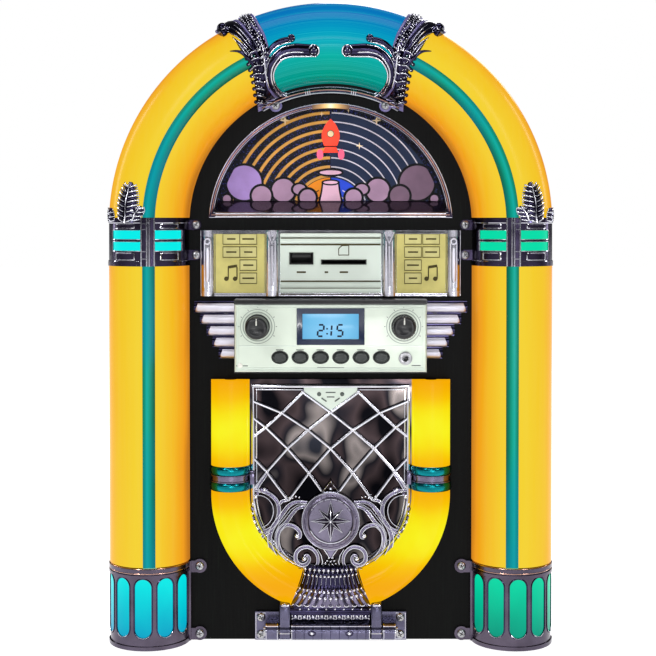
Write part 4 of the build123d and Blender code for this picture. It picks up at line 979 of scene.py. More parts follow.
NECK_TOP = ((36.8, 331.5), (34.6, 336.8), (30.8, 340.8), (26.2, 343.0), (22.2, 343.8))


def blade(bm, outer, inner, side, lift, bulge):
    """Full-bodied leaf between two edges, standing off the tube and rounded across."""
    left, right = smooth_path(outer, 5), smooth_path(inner, 5)
    across = 8
    rows = []
    for a, b in zip(left, right):
        row = [tube_point(side * a.x, a.y, -0.4)]
        for k in range(across + 1):
            t = k / across
            p = a.lerp(b, t)
            row.append(tube_point(side * p.x, p.y, lift + bulge * math.sin(math.pi * t)))
        row.append(tube_point(side * b.x, b.y, -0.4))
        rows.append(row)
    skin(bm, rows)


def edge_rod(bm, points, lift, radius, side, sides=6):
    """Round bar along front-view points, laid over the tube."""
    rod(bm, hug(points, lift, side, 5), radius, sides)


def between(outer, inner, t):
    """Line a share t of the way between two edges."""
    return [(a[0] + (b[0] - a[0]) * t, a[1] + (b[1] - a[1]) * t) for a, b in zip(outer, inner)]


def crest_wing(body, lines, rim, side):
    """One scrolled crest: dark leaves that lie on the tube, pale rims, and bright beads and veins; the dark and the
    bright chrome are painted shade and painted highlights on one casting.
    """
    blade(body, PLUME_OUTER, PLUME_INNER, side, 1.0, 2.6)
    blade(body, BEADED_OUTER, BEADED_INNER, side, 1.4, 1.6)
    blade(body, LOWER_OUTER, LOWER_INNER, side, 0.8, 1.8)
    blade(body, BODY_OUTER, BODY_INNER, side, 0.8, 1.8)
    edge_rod(body, THORN, [0.8, 1.8, 2.4, 2.0], [0.25, 1.0, 1.4, 1.0], side, 8)
    edge_rod(rim, PLUME_OUTER[1:-2], 1.5, [0.7, 1.1, 1.1, 0.9, 0.5], side, 8)
    edge_rod(rim, BEADED_INNER[:-1], 1.6, [0.9, 1.0, 0.9, 0.5], side, 8)
    edge_rod(rim, ((52.0, 356.6), (48.4, 358.4), (44.2, 358.2)), 1.6, 0.9, side, 8)
    for t, size in ((0.5, 0.34), (0.78, 0.26)):
        edge_rod(lines, between(PLUME_OUTER, PLUME_INNER, t)[4:9], [2.8, 3.6, 3.4], [0.15, size, 0.12], side)
    edge_rod(lines, PLUME_INNER[3:9], 1.2, 0.26, side)
    edge_rod(lines, BEADED_OUTER[:-1], 1.7, [0.3, 0.4, 0.3], side)
    ball(body, tube_point(side * 60.6, 350.6, 1.8), 3.2, segments=16)
    curl = [(60.6 + 2.6 * math.cos(a), 350.4 + 2.3 * math.sin(a)) for a in (0.6, 1.5, 2.4, 3.3, 4.2, 5.1)]
    edge_rod(lines, curl, 3.2, [0.2, 0.42, 0.42, 0.2], side)
    for lane in range(4):
        path = smooth_path(between(BEADED_OUTER, BEADED_INNER, 0.18 + 0.21 * lane), 3 if lane % 2 else 4)
        for k, p in enumerate(path[:-1]):
            wobble = 0.35 * math.sin(7.0 * k + 3.0 * lane)
            size = 0.5 + 0.16 * math.sin(5.0 * k + 2.0 * lane)
            ball(lines, tube_point(side * (p.x + wobble), p.y, 3.1 - 0.25 * abs(lane - 1.5)), size, segments=8)
    for t in (0.3, 0.7):
        edge_rod(lines, between(LOWER_OUTER, LOWER_INNER, t), [1.6, 2.7, 2.6], [0.15, 0.36, 0.2], side)


def crest_barbs(body, lines, side):
    """Thick dark feathers down the crest's outer edge, with bright veins, beads and forks, and the bright spine beside
    them; dark and bright chrome stand for painted shade and painted highlights.
    """
    for index, (tip, root) in enumerate(zip(BARB_TIPS, BARB_ROOTS)):
        middle = ((tip[0] + root[0]) / 2 + 0.5, (tip[1] + root[1]) / 2 + 0.7)
        edge_rod(body, (tip, middle, root), [1.0, 2.4, 2.6], [0.9, 1.35, 1.0], side, 8)
        ball(body, tube_point(side * tip[0], tip[1], 1.2), 1.15, segments=10)
        high = ((tip[0] + root[0]) / 2 + 0.5, (tip[1] + root[1]) / 2 + 1.0)
        edge_rod(lines, ((tip[0] - 0.6, tip[1] + 0.4), high, (root[0] + 0.6, root[1] + 0.2)), [2.0, 3.7, 3.6],
                 [0.3, 0.42, 0.25], side)
        ball(lines, tube_point(side * (tip[0] - 0.4), tip[1] + 0.1, 2.1), 0.5, segments=8)
        for lane in range(3):
            x = root[0] + (tip[0] - root[0]) * (0.25 + 0.25 * lane)
            ball(lines, tube_point(side * x, root[1] - 2.4 + 0.3 * lane, 3.0), 0.44, segments=8)
        if index < 5:
            fork = (root[0] - 2.2, root[1] + 2.6)
            edge_rod(lines, (root, (root[0] - 1.4, root[1] + 0.8), fork), [3.2, 3.4, 2.8], [0.4, 0.5, 0.2], side)
            ball(lines, tube_point(side * fork[0], fork[1], 2.8), 0.5, segments=8)
    spine = ((39.0, 345.0), (37.4, 338.0), (37.0, 331.0), (36.6, 325.0), (35.4, 319.0))
    edge_rod(lines, spine, 3.4, [0.2, 0.45, 0.3], side)


def crest_neck(body, lines, rim, side):
    """Swan neck with its double bright edge of painted highlights, top ridge, knob and end curl."""
    blade(body, NECK_OUTER, NECK_INNER, side, 1.0, 1.9)
    edge_rod(body, NECK_TOP, [1.4, 2.0, 2.0, 1.6], [0.9, 1.5, 1.7, 1.4], side, 10)
    edge_rod(lines, NECK_INNER, [1.5, 1.7, 1.7, 1.2], [0.5, 0.6, 0.6, 0.45], side, 8)
    edge_rod(lines, between(NECK_OUTER, NECK_INNER, 0.66)[1:], [2.8, 3.0, 2.8], [0.35, 0.5, 0.45], side, 8)
    edge_rod(lines, between(NECK_OUTER, NECK_INNER, 0.1)[2:7], 2.2, [0.2, 0.4, 0.2], side)
    edge_rod(lines, [(x - 0.2, z - 1.7) for x, z in NECK_TOP], 2.6, [0.2, 0.45, 0.3], side)
    edge_rod(rim, NECK_OUTER[5:], 1.4, [0.5, 0.8, 0.8], side, 8)
    ball(body, tube_point(side * 21.8, 344.2, 2.0), 2.3, segments=14)
    for k in range(6):
        u, v = polar(1.5, 60 * k)
        ball(lines, tube_point(side * (21.8 + u), 344.2 + v, 3.2), 0.42, segments=8)
    ball(body, tube_point(side * 9.4, 338.1, 1.6), 3.1, segments=16)
    curl = [(9.4 + 2.9 * math.cos(a), 338.1 + 2.9 * math.sin(a)) for a in (0.4, 1.4, 2.4, 3.4, 4.4, 5.4)]
    edge_rod(lines, curl, 2.6, [0.3, 0.5, 0.5, 0.35], side)
    for k in range(5):
        u, v = polar(1.3, 72 * k + 20)
        ball(lines, tube_point(side * (9.4 + u), 338.1 + v, 4.2), 0.4, segments=8)


def crest_foot(rim, lines, side):
    """Ribs that fan from the barbs down to the rail's end, each with a bright line of painted highlight, and the seat
    of the fixing screw.
    """
    outline = [(41.6, 305.2), (42.0, 312), (40.6, 318), (33, 318.5), (27.5, 316.5), (23, 313.6), (31, 309.5)]
    plate(rim, mirrored(outline, side)[::side], PANEL_Y - 1.8, PANEL_Y - 0.2, 0.4)
    for k in range(6):
        z = 317.6 - 1.9 * k
        path = smooth_path([(41.4 - 0.1 * k, z - 0.5), (37.0, z), (33.0 - 0.4 * k, z + 0.2)], 4)
        rod(rim, [Vector((side * p.x, PANEL_Y - 2.2, p.y)) for p in path], [0.8, 0.95, 0.6], 8)
        rod(lines, [Vector((side * p.x, PANEL_Y - 3.0, p.y + 0.3)) for p in path[2:]], [0.12, 0.28, 0.12], 6)
    nut = circle(side * CREST_SCREW[0], CREST_SCREW[1], 3.6, 24)
    plate(rim, nut, PANEL_Y - 1.7, PANEL_Y - 0.1, 0.4)


def rail():
    """Rail over the window: a broad dark band with bright edges, a bronze line and bamboo-like nodes."""
    start = 90 - RAIL_HALF_DEG
    sweep = 2 * RAIL_HALF_DEG
    low, high = RAIL_R
    middle = (low + high) / 2
    arcs = {r: circle(0, ARCH_Z, r, 64, start, sweep) for r in (low, low + 0.5, middle, high - 0.4, high)}
    bm = bmesh.new()
    plate(bm, arcs[high] + arcs[low][::-1], PANEL_Y - 1.6, PANEL_Y - 0.1)
    rod(bm, raised(arcs[middle], PANEL_Y - 1.7), 1.4, 10)
    piece("crest_rail", bm, "cabinet", NIGHT_CHROME)
    bm = bmesh.new()
    rod(bm, raised(arcs[low + 0.5], PANEL_Y - 1.9), 0.6, 8)
    rod(bm, raised(arcs[high - 0.4], PANEL_Y - 1.7), 0.28, 8)
    for deg in (-9.8, 9.8):
        for step, size in ((-0.9, 0.3), (0, 0.4), (0.9, 0.3)):
            a = math.radians(90 + deg + step)
            inner, outer = (Vector((r * math.cos(a), PANEL_Y - 2.6, ARCH_Z + r * math.sin(a))) for r in RAIL_R)
            rod(bm, [inner, (inner + outer) / 2 + FRONT * 0.9, outer], [size, size, size * 0.5], 8)
    piece("crest_rail_lines", bm, "cabinet", CHROME)
    bm = bmesh.new()
    rod(bm, raised(arcs[middle], PANEL_Y - 2.7), 0.55, 8)
    piece("crest_rail_bronze", bm, "cabinet", BRONZE_LINE)


def crest():
    """Both crests and the rail that joins them."""
    for side, name in SIDES:
        body, lines, rim = bmesh.new(), bmesh.new(), bmesh.new()
        crest_wing(body, lines, rim, side)
        crest_barbs(body, lines, side)
        crest_neck(body, lines, rim, side)
        crest_foot(rim, lines, side)
        # Dark chrome bodies and bright chrome veins: painted shade and painted highlights on one chrome casting.
        piece(f"crest_{name}", body, "cabinet", NIGHT_CHROME, ["crest_ornament"], smooth=60)
        piece(f"crest_veins_painted_highlight_{name}", lines, "cabinet", CHROME, smooth=60)
        piece(f"crest_rims_{name}", rim, "cabinet", CREST_RIM, smooth=60)
    rail()


# ---------------------------------------------------------------- window and picture
DOME_FLOOR = BEZEL_LOW.z


def dome_outline(r, low):
    """Half circle cut off level, as front-view points, counter-clockwise from the right corner."""
    drop = low - ARCH_Z
    start = math.degrees(math.asin(drop / r))
    return circle(0, ARCH_Z, r, 72, start, 180 - 2 * start)


def bezel():
    """Chamfered frame of the window with its bright and bronze lines, and the sill inside it."""
    outer = dome_outline(DOME_R, DOME_FLOOR)
    inner = dome_outline(DOME_R - 2.6, DOME_FLOOR + 3.5)
    bm = bmesh.new()
    rows = [raised(outer, PANEL_Y), raised(outer, PANEL_Y - 1.3), raised(inner, PANEL_Y - 0.9), raised(inner, PANEL_Y)]
    skin(bm, rows, wrap_rows=True, wrap_cols=True)
    piece("window_bezel", bm, "cabinet", DARK_CHROME, ["dome_bezel"])
    for name, tone, lines in (("bright", CHROME, ((0.35, 0.32, 1.5), (2.5, 0.22, 1.1))),
                              ("bronze", BRONZE_LINE, ((1.5, 0.36, 1.4),))):
        bm = bmesh.new()
        for inset, wire, lift in lines:
            points = dome_outline(DOME_R - inset, DOME_FLOOR + inset * 1.3)
            rod(bm, raised(points, PANEL_Y - lift), wire, 8, closed=True)
        piece(f"window_bezel_{name}", bm, "cabinet", tone)
    bm = bmesh.new()
    left, right = -DOME_R + 4, DOME_R - 4
    for z, wire in ((DOME_FLOOR + 0.8, 0.7), (DOME_FLOOR + 2.6, 0.55)):
        level(bm, left, right, PANEL_Y - 1.6, z, wire, 10)
    piece("window_sill_lines", bm, "cabinet", CHROME)
    bm = bmesh.new()
    skin(bm, [[Vector((x, ART_Y - 0.1, ART_LOW)) for x in (left, right)],
              [Vector((x, PANEL_Y + 1.2, DOME_FLOOR + 3.2)) for x in (left + 1.5, right - 1.5)],
              [Vector((x, PANEL_Y + 1.2, DOME_FLOOR + 2.4)) for x in (left + 1.5, right - 1.5)]])
    piece("window_sill", bm, "cabinet", TRAY)


ART_LOW = DOME_FLOOR + 10.0
ART_R = DOME_R - 5.0
RING_CENTRE_Z = ARCH_Z + 7.4


def layer(outline, name, depth, material, bevel=0.12):
    """Printed shape on the picture board, as a thin raised sheet."""
    bm = bmesh.new()
    for points in outline:
        plate(bm, points, ART_Y - depth, ART_Y - 0.02, bevel)
    piece(name, bm, "cabinet", material)


def clipped(points):
    """Points kept inside the picture's arch and above its lower edge."""
    result = []
    for x, z in points:
        z = max(z, ART_LOW)
        reach = math.hypot(x, z - ARCH_Z)
        if reach > ART_R:
            scale = ART_R / reach
            x, z = x * scale, ARCH_Z + (z - ARCH_Z) * scale
        result.append((x, z))
    return result


def strip(r, half, steps, start, sweep):
    """Outline of a curved strip about the middle of the picture's rings."""
    outer, inner = (circle(0, RING_CENTRE_Z, r + way * half, steps, start, sweep) for way in (1, -1))
    return outer + inner[::-1]


def sunrays():
    """Concentric rings behind the clouds: gold bands on the left, fine silver on the right."""
    gold, silver = [], []
    for k in range(8):
        r = 21.4 + 5.25 * k
        low = math.degrees(math.asin((ART_LOW + 0.4 - RING_CENTRE_Z) / r))
        for start, half, rings in ((90.6, 0.85, gold), (low, 0.34, silver)):
            rings.append(strip(r, half, 36, start, 89.4 - low))
    layer(gold, "picture_gold_rings", 0.25, GOLD, 0)
    layer(silver, "picture_silver_rings", 0.25, SILVER_INK, 0)
    fan = [(0, RING_CENTRE_Z)]
    for start, name, ink in ((91, "orange", ORANGE), (1, "blue", BLUE_INK)):
        sector = clipped(fan + circle(0, RING_CENTRE_Z, 20.2, 20, start, 88))
        layer([sector], f"picture_{name}_sector", 0.25, ink, 0)
    for k in range(2):
        for start, name, ink in ((118, "orange", DARK_INK), (26, "blue", SILVER_INK)):
            layer([strip(11.0 + 3.6 * k, 0.3, 16, start, 36)], f"picture_{name}_arc_{k}", 0.3, ink, 0)


CLOUDS = ((50.5, 265.0, 11.0, "big"), (27.6, 260.6, 7.6, "mid"), (40.4, 257.4, 6.6, "curl"),
          (18.2, 261.2, 4.6, "small"), (13.4, 256.4, 5.6, "low"), (60.6, 255.6, 3.2, "end"))
CLOUD_LINE = 0.95


def clouds():
    """Two banks of outlined puffs, cut off level along their foot."""
    inks = {-1: {"big": PURPLE}, 1: {"big": MAUVE_DIM, "curl": MAUVE_DIM}}
    for side, name in SIDES:
        for index, (x, z, r, puff) in enumerate(CLOUDS):
            depth = 0.5 + 0.14 * index
            tall = 0.8 if puff == "small" else 1.0
            ink = inks[side].get(puff, MAUVE)
            edge = clipped(circle(side * x, z, r + CLOUD_LINE / 2, 48, tall=tall))
            fill = clipped(circle(side * x, z, r - CLOUD_LINE, 48, tall=tall))
            layer([edge], f"picture_cloud_edge_{name}_{puff}", depth, DARK_INK, 0)
            layer([fill], f"picture_cloud_{name}_{puff}", depth + 0.08, ink, 0)


def star(x, z, r):
    """Four-pointed star."""
    points = []
    for k in range(8):
        a = math.radians(45 * k)
        reach = r if k % 2 == 0 else r * 0.26
        points.append((x + reach * math.sin(a), z + reach * math.cos(a)))
    return points


STARS = ((-26.6, 301.4, 3.2), (26.8, 301.4, 2.8), (16.8, 286.6, 2.2), (-5.2, 305.2, 1.6), (10.4, 307.6, 1.7))


def rocket():
    """Rocket, boosters, smoke ring and smoke column in the middle of the picture."""
    layer([star(*place) for place in STARS], "picture_stars", 0.4, CREAM, 0)
    body = smooth_path(((0, 302.4), (3.0, 299.0), (5.0, 294.6), (5.1, 290.6), (3.8, 286.6), (3.2, 286.0)), 5)
    body = [(p.x, p.y) for p in body]
    outline = body + [(-x, z) for x, z in body[::-1]][:-1]
    layer([outline], "picture_rocket_body", 0.9, ROCKET_RED, 0.2)
    layer([[(-3.2, 286.2), (3.2, 286.2), (4.6, 282.6), (-4.6, 282.6)]], "picture_rocket_skirt", 0.84, ROCKET_RED, 0.1)
    layer([[(-3.8, 286.6), (3.8, 286.6), (3.6, 286.0), (-3.6, 286.0)]], "picture_rocket_belt", 1.0, DARK_INK, 0.05)
    boosters = [circle(side * 6.2, 281.6, 1.9, 24, tall=1.6) for side in (-1, 1)]
    layer(boosters, "picture_boosters", 0.8, ROCKET_PINK, 0.1)
    layer([circle(0, 293.6, 2.2, 24)], "picture_rocket_rim", 1.0, DARK_INK, 0.1)
    layer([circle(0, 293.6, 1.8, 24)], "picture_rocket_window", 1.1, CREAM, 0.1)
    layer([circle(0, 271.0, 7.6, 36, tall=0.34)], "picture_smoke_ring_edge", 0.7, DARK_INK, 0.05)
    layer([circle(0, 271.0, 6.4, 36, tall=0.2)], "picture_smoke_ring", 0.8, PINK, 0.05)
    column = [(-6.2, ART_LOW), (-5.0, 260), (-4.4, 265.4), (4.4, 265.4), (5.0, 260), (6.2, ART_LOW)]
    layer([[(1.16 * x, z) for x, z in column]], "picture_smoke_edge", 1.3, DARK_INK, 0.05)
    layer([[(0.96 * x, min(z, 264.8)) for x, z in column]], "picture_smoke", 1.4, PINK, 0.05)
    layer([circle(0, 265.2, 5.4, 28, tall=0.34)], "picture_smoke_top_edge", 1.45, DARK_INK, 0.05)
    layer([circle(0, 265.2, 4.2, 28, tall=0.22)], "picture_smoke_top", 1.55, PINK, 0.05)


def picture():
    """Printed picture behind the window, as raised sheets, and the lamp above it."""
    low = math.degrees(math.asin((ART_LOW - ARCH_Z) / ART_R))
    for start, name, ink in ((low, "right", NIGHT_PLAIN), (90, "left", NIGHT)):
        half = [(0, ART_LOW)] + circle(0, ARCH_Z, ART_R, 40, start, 90 - low)
        layer([half], f"picture_ground_{name}", 0.18, ink, 0)
    sunrays()
    clouds()
    rocket()
    bm = bmesh.new()
    rod(bm, raised(circle(0, ARCH_Z, DOME_R - 1.6, 16, 81, 18), PANEL_Y - 0.9), 1.5, 10, 0.7)
    piece("window_lamp", bm, "cabinet", WARM_LAMP)


# ---------------------------------------------------------------- selector strip
PILASTER_X = (33.5, 70.3)
PILASTER_R = 4.2
SELECT_Y = MEDIA_HIGH.y


def selector():
    """Half-round pilasters with crowns, feet and inset bars, and the strip's rails."""
    z0, z1 = SELECT_LOW.z, SELECT_HIGH.z
    waist, shaft = PILASTER_R - 0.5, PILASTER_R - 0.2
    profile = ((z0, PILASTER_R), (z0 + 3, PILASTER_R), (z0 + 3.4, waist), (z0 + 5, shaft), (z1 - 6, shaft),
               (z1 - 4, waist), (z1 - 3.6, PILASTER_R), (z1, PILASTER_R))
    bm = bmesh.new()
    for column, x in enumerate(PILASTER_X):
        for side in (-1, 1):
            centre = side * x
            skin(bm, [half_ring(centre, SELECT_Y, r, z, 9) for z, r in profile])
            for deg in (64, 116):
                u, v = polar(4.1, deg)
                rod(bm, [(centre + u, SELECT_Y - v, z) for z in (z0 + 5, z1 - 6)], 0.35, 6)
            if column:
                pill = [Vector((centre, SELECT_Y - 4.3, z)) for z in (z0 + 8, z0 + 11, z1 - 13, z1 - 10)]
                rod(bm, pill, [0.7, 1.5, 1.5, 0.7], 10, 0.6)
                rod(bm, raised(circle(centre, z1 - 6.4, 1.6, 16), SELECT_Y - 4.2), 0.45, 6, closed=True)
            else:
                notch = [(centre - 2.6, z1 - 1), (centre, z1 - 7.5), (centre + 2.6, z1 - 1)]
                rod(bm, raised(notch, SELECT_Y - 4.2), 0.6, 8)
                rod(bm, [(centre, SELECT_Y - 4.3, z0 + 6), (centre, SELECT_Y - 4.3, z1 - 9)], 0.5, 8)
    for low, high in ((z0, z0 + 1.6), (z1 - 2.0, z1)):
        block(bm, (SELECT_LOW.x, SELECT_Y - 2.0, low), (SELECT_HIGH.x, SELECT_Y + 0.2, high), 0.4)
    for x in (SELECT_LOW.x + 0.5, SELECT_HIGH.x - 0.5):
        block(bm, (x - 0.5, SELECT_Y - 1.6, z0), (x + 0.5, SELECT_Y + 0.2, z1), 0.3)
    piece("selector_columns", bm, "cabinet", WING_CHROME)


LABEL = (9.6, 6.0)


def label_places():
    """Middles of the title labels, in two columns a side."""
    rows = (232.4, 224.9, 217.4, 209.9)
    places = [(-56.9, rows[0]), (-56.9, rows[1])] + [(-47.2, z) for z in rows]
    places += [(47.2, z) for z in rows] + [(57.6, rows[0]), (57.6, rows[1])]
    return places


def note(bm, x, z, y):
    """Pair of joined quavers."""
    for dx in (-2.6, 2.4):
        ball(bm, (x + dx, y, z - 3.2), 1.3, 0.25, 12)
        rod(bm, [(x + dx + 1.1, y, z - 3.2), (x + dx + 1.1, y, z + 3.6)], 0.32, 6)
    rod(bm, [(x - 1.5, y, z + 3.4), (x + 3.5, y, z + 4.2)], 0.75, 6)


def title_cards():
    """Labels with printed frames and bars, and a note sign at the foot of each card."""
    y = ends("title_cards")[0].y
    labels, ink = bmesh.new(), bmesh.new()
    for index, (x, z) in enumerate(label_places()):
        x0, x1, z0, z1 = x - LABEL[0] / 2, x + LABEL[0] / 2, z - LABEL[1] / 2, z + LABEL[1] / 2
        block(labels, (x0, y - 0.35, z0), (x1, y + 0.1, z1), 0.12)
        rod(ink, raised(rectangle(x0, z0, x1, z1), y - 0.35), 0.26, 4, closed=True)
        half = 2.4 + 0.5 * (index % 3)
        level(ink, x - half, x + half, y - 0.38, z, 0.45, 6, 0.4)
    for x in (-57.2, 57.6):
        note(ink, x, 212.8, y - 0.2)
    piece("title_labels", labels, "cabinet", CARD_LIGHT)
    piece("title_print", ink, "cabinet", INK)


MEDIA_BARS = (202.6, 206.0, 230.9, 234.6)
MEDIA_LINES = (200.8, 204.3, 208.2, 229.2, 232.8)
MEDIA_OPENINGS = ((-24.2, 217.2, -9.3, 225.2), (-6.0, 217.2, 21.1, 221.1))


def media_trim():
    """Lines and openings' rims on the silver plate between the inner pilasters."""
    y = MEDIA_LOW.y
    x0, x1 = MEDIA_LOW.x + 0.4, MEDIA_HIGH.x - 0.4
    bm = bmesh.new()
    for z in MEDIA_BARS:
        level(bm, x0, x1, y + 0.2, z, 1.15, 10, 0.6)
    for corners in MEDIA_OPENINGS:
        rod(bm, raised(rectangle(*corners), y + 0.6), 0.4, 6, closed=True)
    piece("media_mouldings", bm, "cabinet", SILVER)
    bm = bmesh.new()
    for left, right in ((-19.4, -14.2), (5.2, 10.0), (-3.4, -1.4)):
        level(bm, left, right, y + 0.62, 213.4, 0.5, 6, 0.4)
    for z in MEDIA_LINES:
        level(bm, x0, x1, y + 0.3, z, 0.42)
    card = [(4.6, 223.2), (10.4, 223.2), (10.4, 228.6), (6.4, 228.6), (4.6, 226.8)]
    rod(bm, raised(card, y + 0.62), 0.3, 6, closed=True)
    piece("media_print", bm, "cabinet", INK)


# ---------------------------------------------------------------- control unit
KNOB_X = 41.0
KNOB_Z = 183.5
KNOB_R = 6.95
BUTTON_Z = 166.2
BUTTON_SIZE = (7.6, 5.5)
KEY_COUNT = 6
KEY_PITCH = 11.4
KEY_STEPS = ((0.0, 2.6), (0.0, -1.0), (0.25, -1.35), (0.8, -1.55), (1.6, -1.45), (2.4, -1.35))
DISPLAY = (18.2, 174.0, 193.0)
DIVIDER_Z = 172.6


def key_x(index):
    return (index - (KEY_COUNT - 1) / 2) * KEY_PITCH


def fascia_trim():
    """Raised border, rings of painted shade round the knobs, printed marks, and the indicator lamp."""
    y = FASCIA_LOW.y
    ink_y = y + 0.02
    x0, x1, z0, z1 = FASCIA_LOW.x, FASCIA_HIGH.x, FASCIA_LOW.z, FASCIA_HIGH.z
    bm = bmesh.new()
    for inset, wire in ((0.7, 0.6), (2.1, 0.35)):
        rod(bm, raised(rectangle(x0 + inset, z0 + inset, x1 - inset, z1 - inset), y + 0.1), wire, 8, closed=True)
    for left, right in ((x0 + 2.4, -DISPLAY[0] - 1.4), (DISPLAY[0] + 1.4, x1 - 2.4)):
        level(bm, left, right, y, DIVIDER_Z, 0.35, 6, 0.5)
    piece("fascia_border", bm, "cabinet", SILVER)
    # Rings round each knob in a darker copy of the silver: painted shade.
    bm = bmesh.new()
    for side in (-1, 1):
        for radius, wire in ((8.1, 0.28), (9.6, 0.2)):
            rod(bm, raised(circle(side * KNOB_X, KNOB_Z, radius, 48), ink_y), wire, 6, 0.5, closed=True)
    piece("knob_rings", bm, "cabinet", SILVER_DARK)
    bm = bmesh.new()
    for index in range(KEY_COUNT):
        level(bm, key_x(index) - 2.2, key_x(index) + 2.0, ink_y, 170.4, 0.3, 6, 0.4)
    for left, right, z in ((-7.5, 7.5, 160.4), (-53, -46.5, 161.4), (45.5, 50.5, 161.6)):
        level(bm, left, right, ink_y, z, 0.28, 6, 0.4)
    for side in (-1, 1):
        for deg in range(-30, 211, 30):
            tick = [polar(r, deg) for r in (10.2, 11.0)]
            rod(bm, [(side * KNOB_X + u, ink_y, KNOB_Z + v) for u, v in tick], 0.2, 6, 0.4)
    piece("fascia_print", bm, "cabinet", INK_GREY)
    bm = bmesh.new()
    spun(bm, [(1.5, y + 0.1), (1.5, y - 0.3), (1.2, y - 0.5), (0, y - 0.7)], -50.9, 161.6, 20)
    piece("indicator_lamp", bm, "cabinet", LED)


SEGMENTS = {"a": ((0, 2), (1, 2)), "b": ((1, 1), (1, 2)), "c": ((1, 0), (1, 1)), "d": ((0, 0), (1, 0)),
            "e": ((0, 0), (0, 1)), "f": ((0, 1), (0, 2)), "g": ((0, 1), (1, 1))}
DIGITS = {"1": "bc", "2": "abged", "5": "afgcd"}
DIGIT_CELL = 3.2
DIGIT_Z = 178.0
DIGIT_SLANT = 0.08


def display():
    """Chamfered bezel, lit face and the digits of a clock."""
    half, z0, z1 = DISPLAY
    y = FASCIA_LOW.y
    outer, inner = (rectangle(-half - grow, z0 - grow, half + grow, z1 + grow) for grow in (0.8, -2.4))
    bm = bmesh.new()
    rows = [raised(outer, y + 0.4), raised(outer, y - 0.7), raised(inner, y + 0.1), raised(inner, y + 1.1)]
    skin(bm, rows, wrap_cols=True)
    piece("display_bezel", bm, "cabinet", NAVY, smooth=20, bevel=0.15)
    bm = bmesh.new()
    block(bm, (-half + 2.3, y + 0.9, z0 + 2.3), (half - 2.3, y + 1.6, z1 - 2.3), 0.2)
    piece("display_face", bm, "cabinet", LCD)
    bm = bmesh.new()
    for place, digit in ((-7.4, "2"), (-3.0, "1"), (3.4, "5")):
        for name in DIGITS[digit]:
            a, b = (Vector((place + (u + DIGIT_SLANT * v) * DIGIT_CELL, y + 0.8, DIGIT_Z + v * DIGIT_CELL))
                    for u, v in SEGMENTS[name])
            gap = (b - a) * 0.12
            rod(bm, [a + gap, b - gap], 0.5, 6, 0.5)
    for z in (179.4, 182.2):
        ball(bm, (-2.0, y + 0.8, z), 0.5, 0.4, 8)
    piece("display_digits", bm, "cabinet", LCD_DARK)


def knob(name, side, grips):
    """Skirted knob with a domed face, finger grips and an index line."""
    back = FASCIA_LOW.y - 0.4
    nose = ends(name)[0].y
    x = side * KNOB_X
    face = ((0.7, 1.4), (1.0, 0.7), (1.7, 0.25), (2.6, 0.1), (3.2, 0.5))
    profile = [(3.0, back), (KNOB_R, back), (KNOB_R, back - 1.6), (KNOB_R - 0.6, back - 2.0)]
    profile += [(KNOB_R - inset, nose + deep) for inset, deep in face] + [(0.0, nose + 0.6)]
    bm = bmesh.new()
    spun(bm, profile, x, KNOB_Z, 64)
    for k in range(grips):
        u, v = polar(KNOB_R - 0.65, 360 * k / grips)
        rod(bm, [(x + u, depth, KNOB_Z + v) for depth in (back - 2.1, nose + 1.2)], 0.35, 6)
    rod(bm, [(x, back + 0.5, KNOB_Z), (x, back - 1.0, KNOB_Z)], 3.0, 24)
    piece(name, bm, name, BLACK, [name], smooth=45)
    bm = bmesh.new()
    rod(bm, [(x, nose + 0.55, KNOB_Z + 1.6), (x, nose + 0.42, KNOB_Z + KNOB_R - 1.6)], 0.38, 8)
    piece(f"{name}_index", bm, name, LED)


def oval(x, y, z, wide, tall):
    """Closed upright oval."""
    angles = [2 * math.pi * k / 40 for k in range(40)]
    return [Vector((x + wide * math.cos(a), y, z + tall * math.sin(a))) for a in angles]


def keys():
    """Dished oval keys and the dark surround of each."""
    y = FASCIA_LOW.y
    wide, tall = BUTTON_SIZE[0] / 2, BUTTON_SIZE[1] / 2
    for index in range(KEY_COUNT):
        x, node = key_x(index), f"button_{index + 1}"
        bm = bmesh.new()
        rows = [oval(x, y + depth, BUTTON_Z, wide - inset, tall - inset) for inset, depth in KEY_STEPS]
        skin(bm, rows, wrap_cols=True, caps=True)
        piece(f"key_{index + 1}", bm, node, KEY_GREY, [node], smooth=45)
        bm = bmesh.new()
        rod(bm, oval(x, y + 0.02, BUTTON_Z, wide + 0.65, tall + 0.65), 0.4, 8, 0.6, closed=True)
        piece(f"key_surround_{index + 1}", bm, "cabinet", RIM_BLACK)


def sockets():
    """Steel ring round the headphone socket."""
    bm = bmesh.new()
    y = ends("headphone_jack")[0].y
    profile = [(1.85, y + 2.0), (1.85, y + 0.1), (2.2, y - 0.1), (3.0, y - 0.1), (3.7, y + 0.3), (3.8, y + 1.0)]
    spun(bm, profile, 42.0, 165.6, 40)
    piece("headphone_ring", bm, "cabinet", STEEL)


def hood():
    """Rounded lip above the fascia and the unit's soft-edged surround."""
    lo, hi = ends("control_housing")
    bm = bmesh.new()
    block(bm, (lo.x, lo.y, FASCIA_HIGH.z + 0.3), (hi.x, lo.y + 6, hi.z), 0.8)
    rod(bm, [(lo.x + 0.6, lo.y + 0.5, hi.z - 0.6), (hi.x - 0.6, lo.y + 0.5, hi.z - 0.6)], 0.5, 8)
    piece("unit_hood", bm, "cabinet", BLACK)


WING_ENDS = (78.3, 74.8, 71.0, 67.7, 64.1)
WING_TOP = 196.2
WING_PITCH = 6.6
WING_RIB = 3.1
WING_START = 54.5


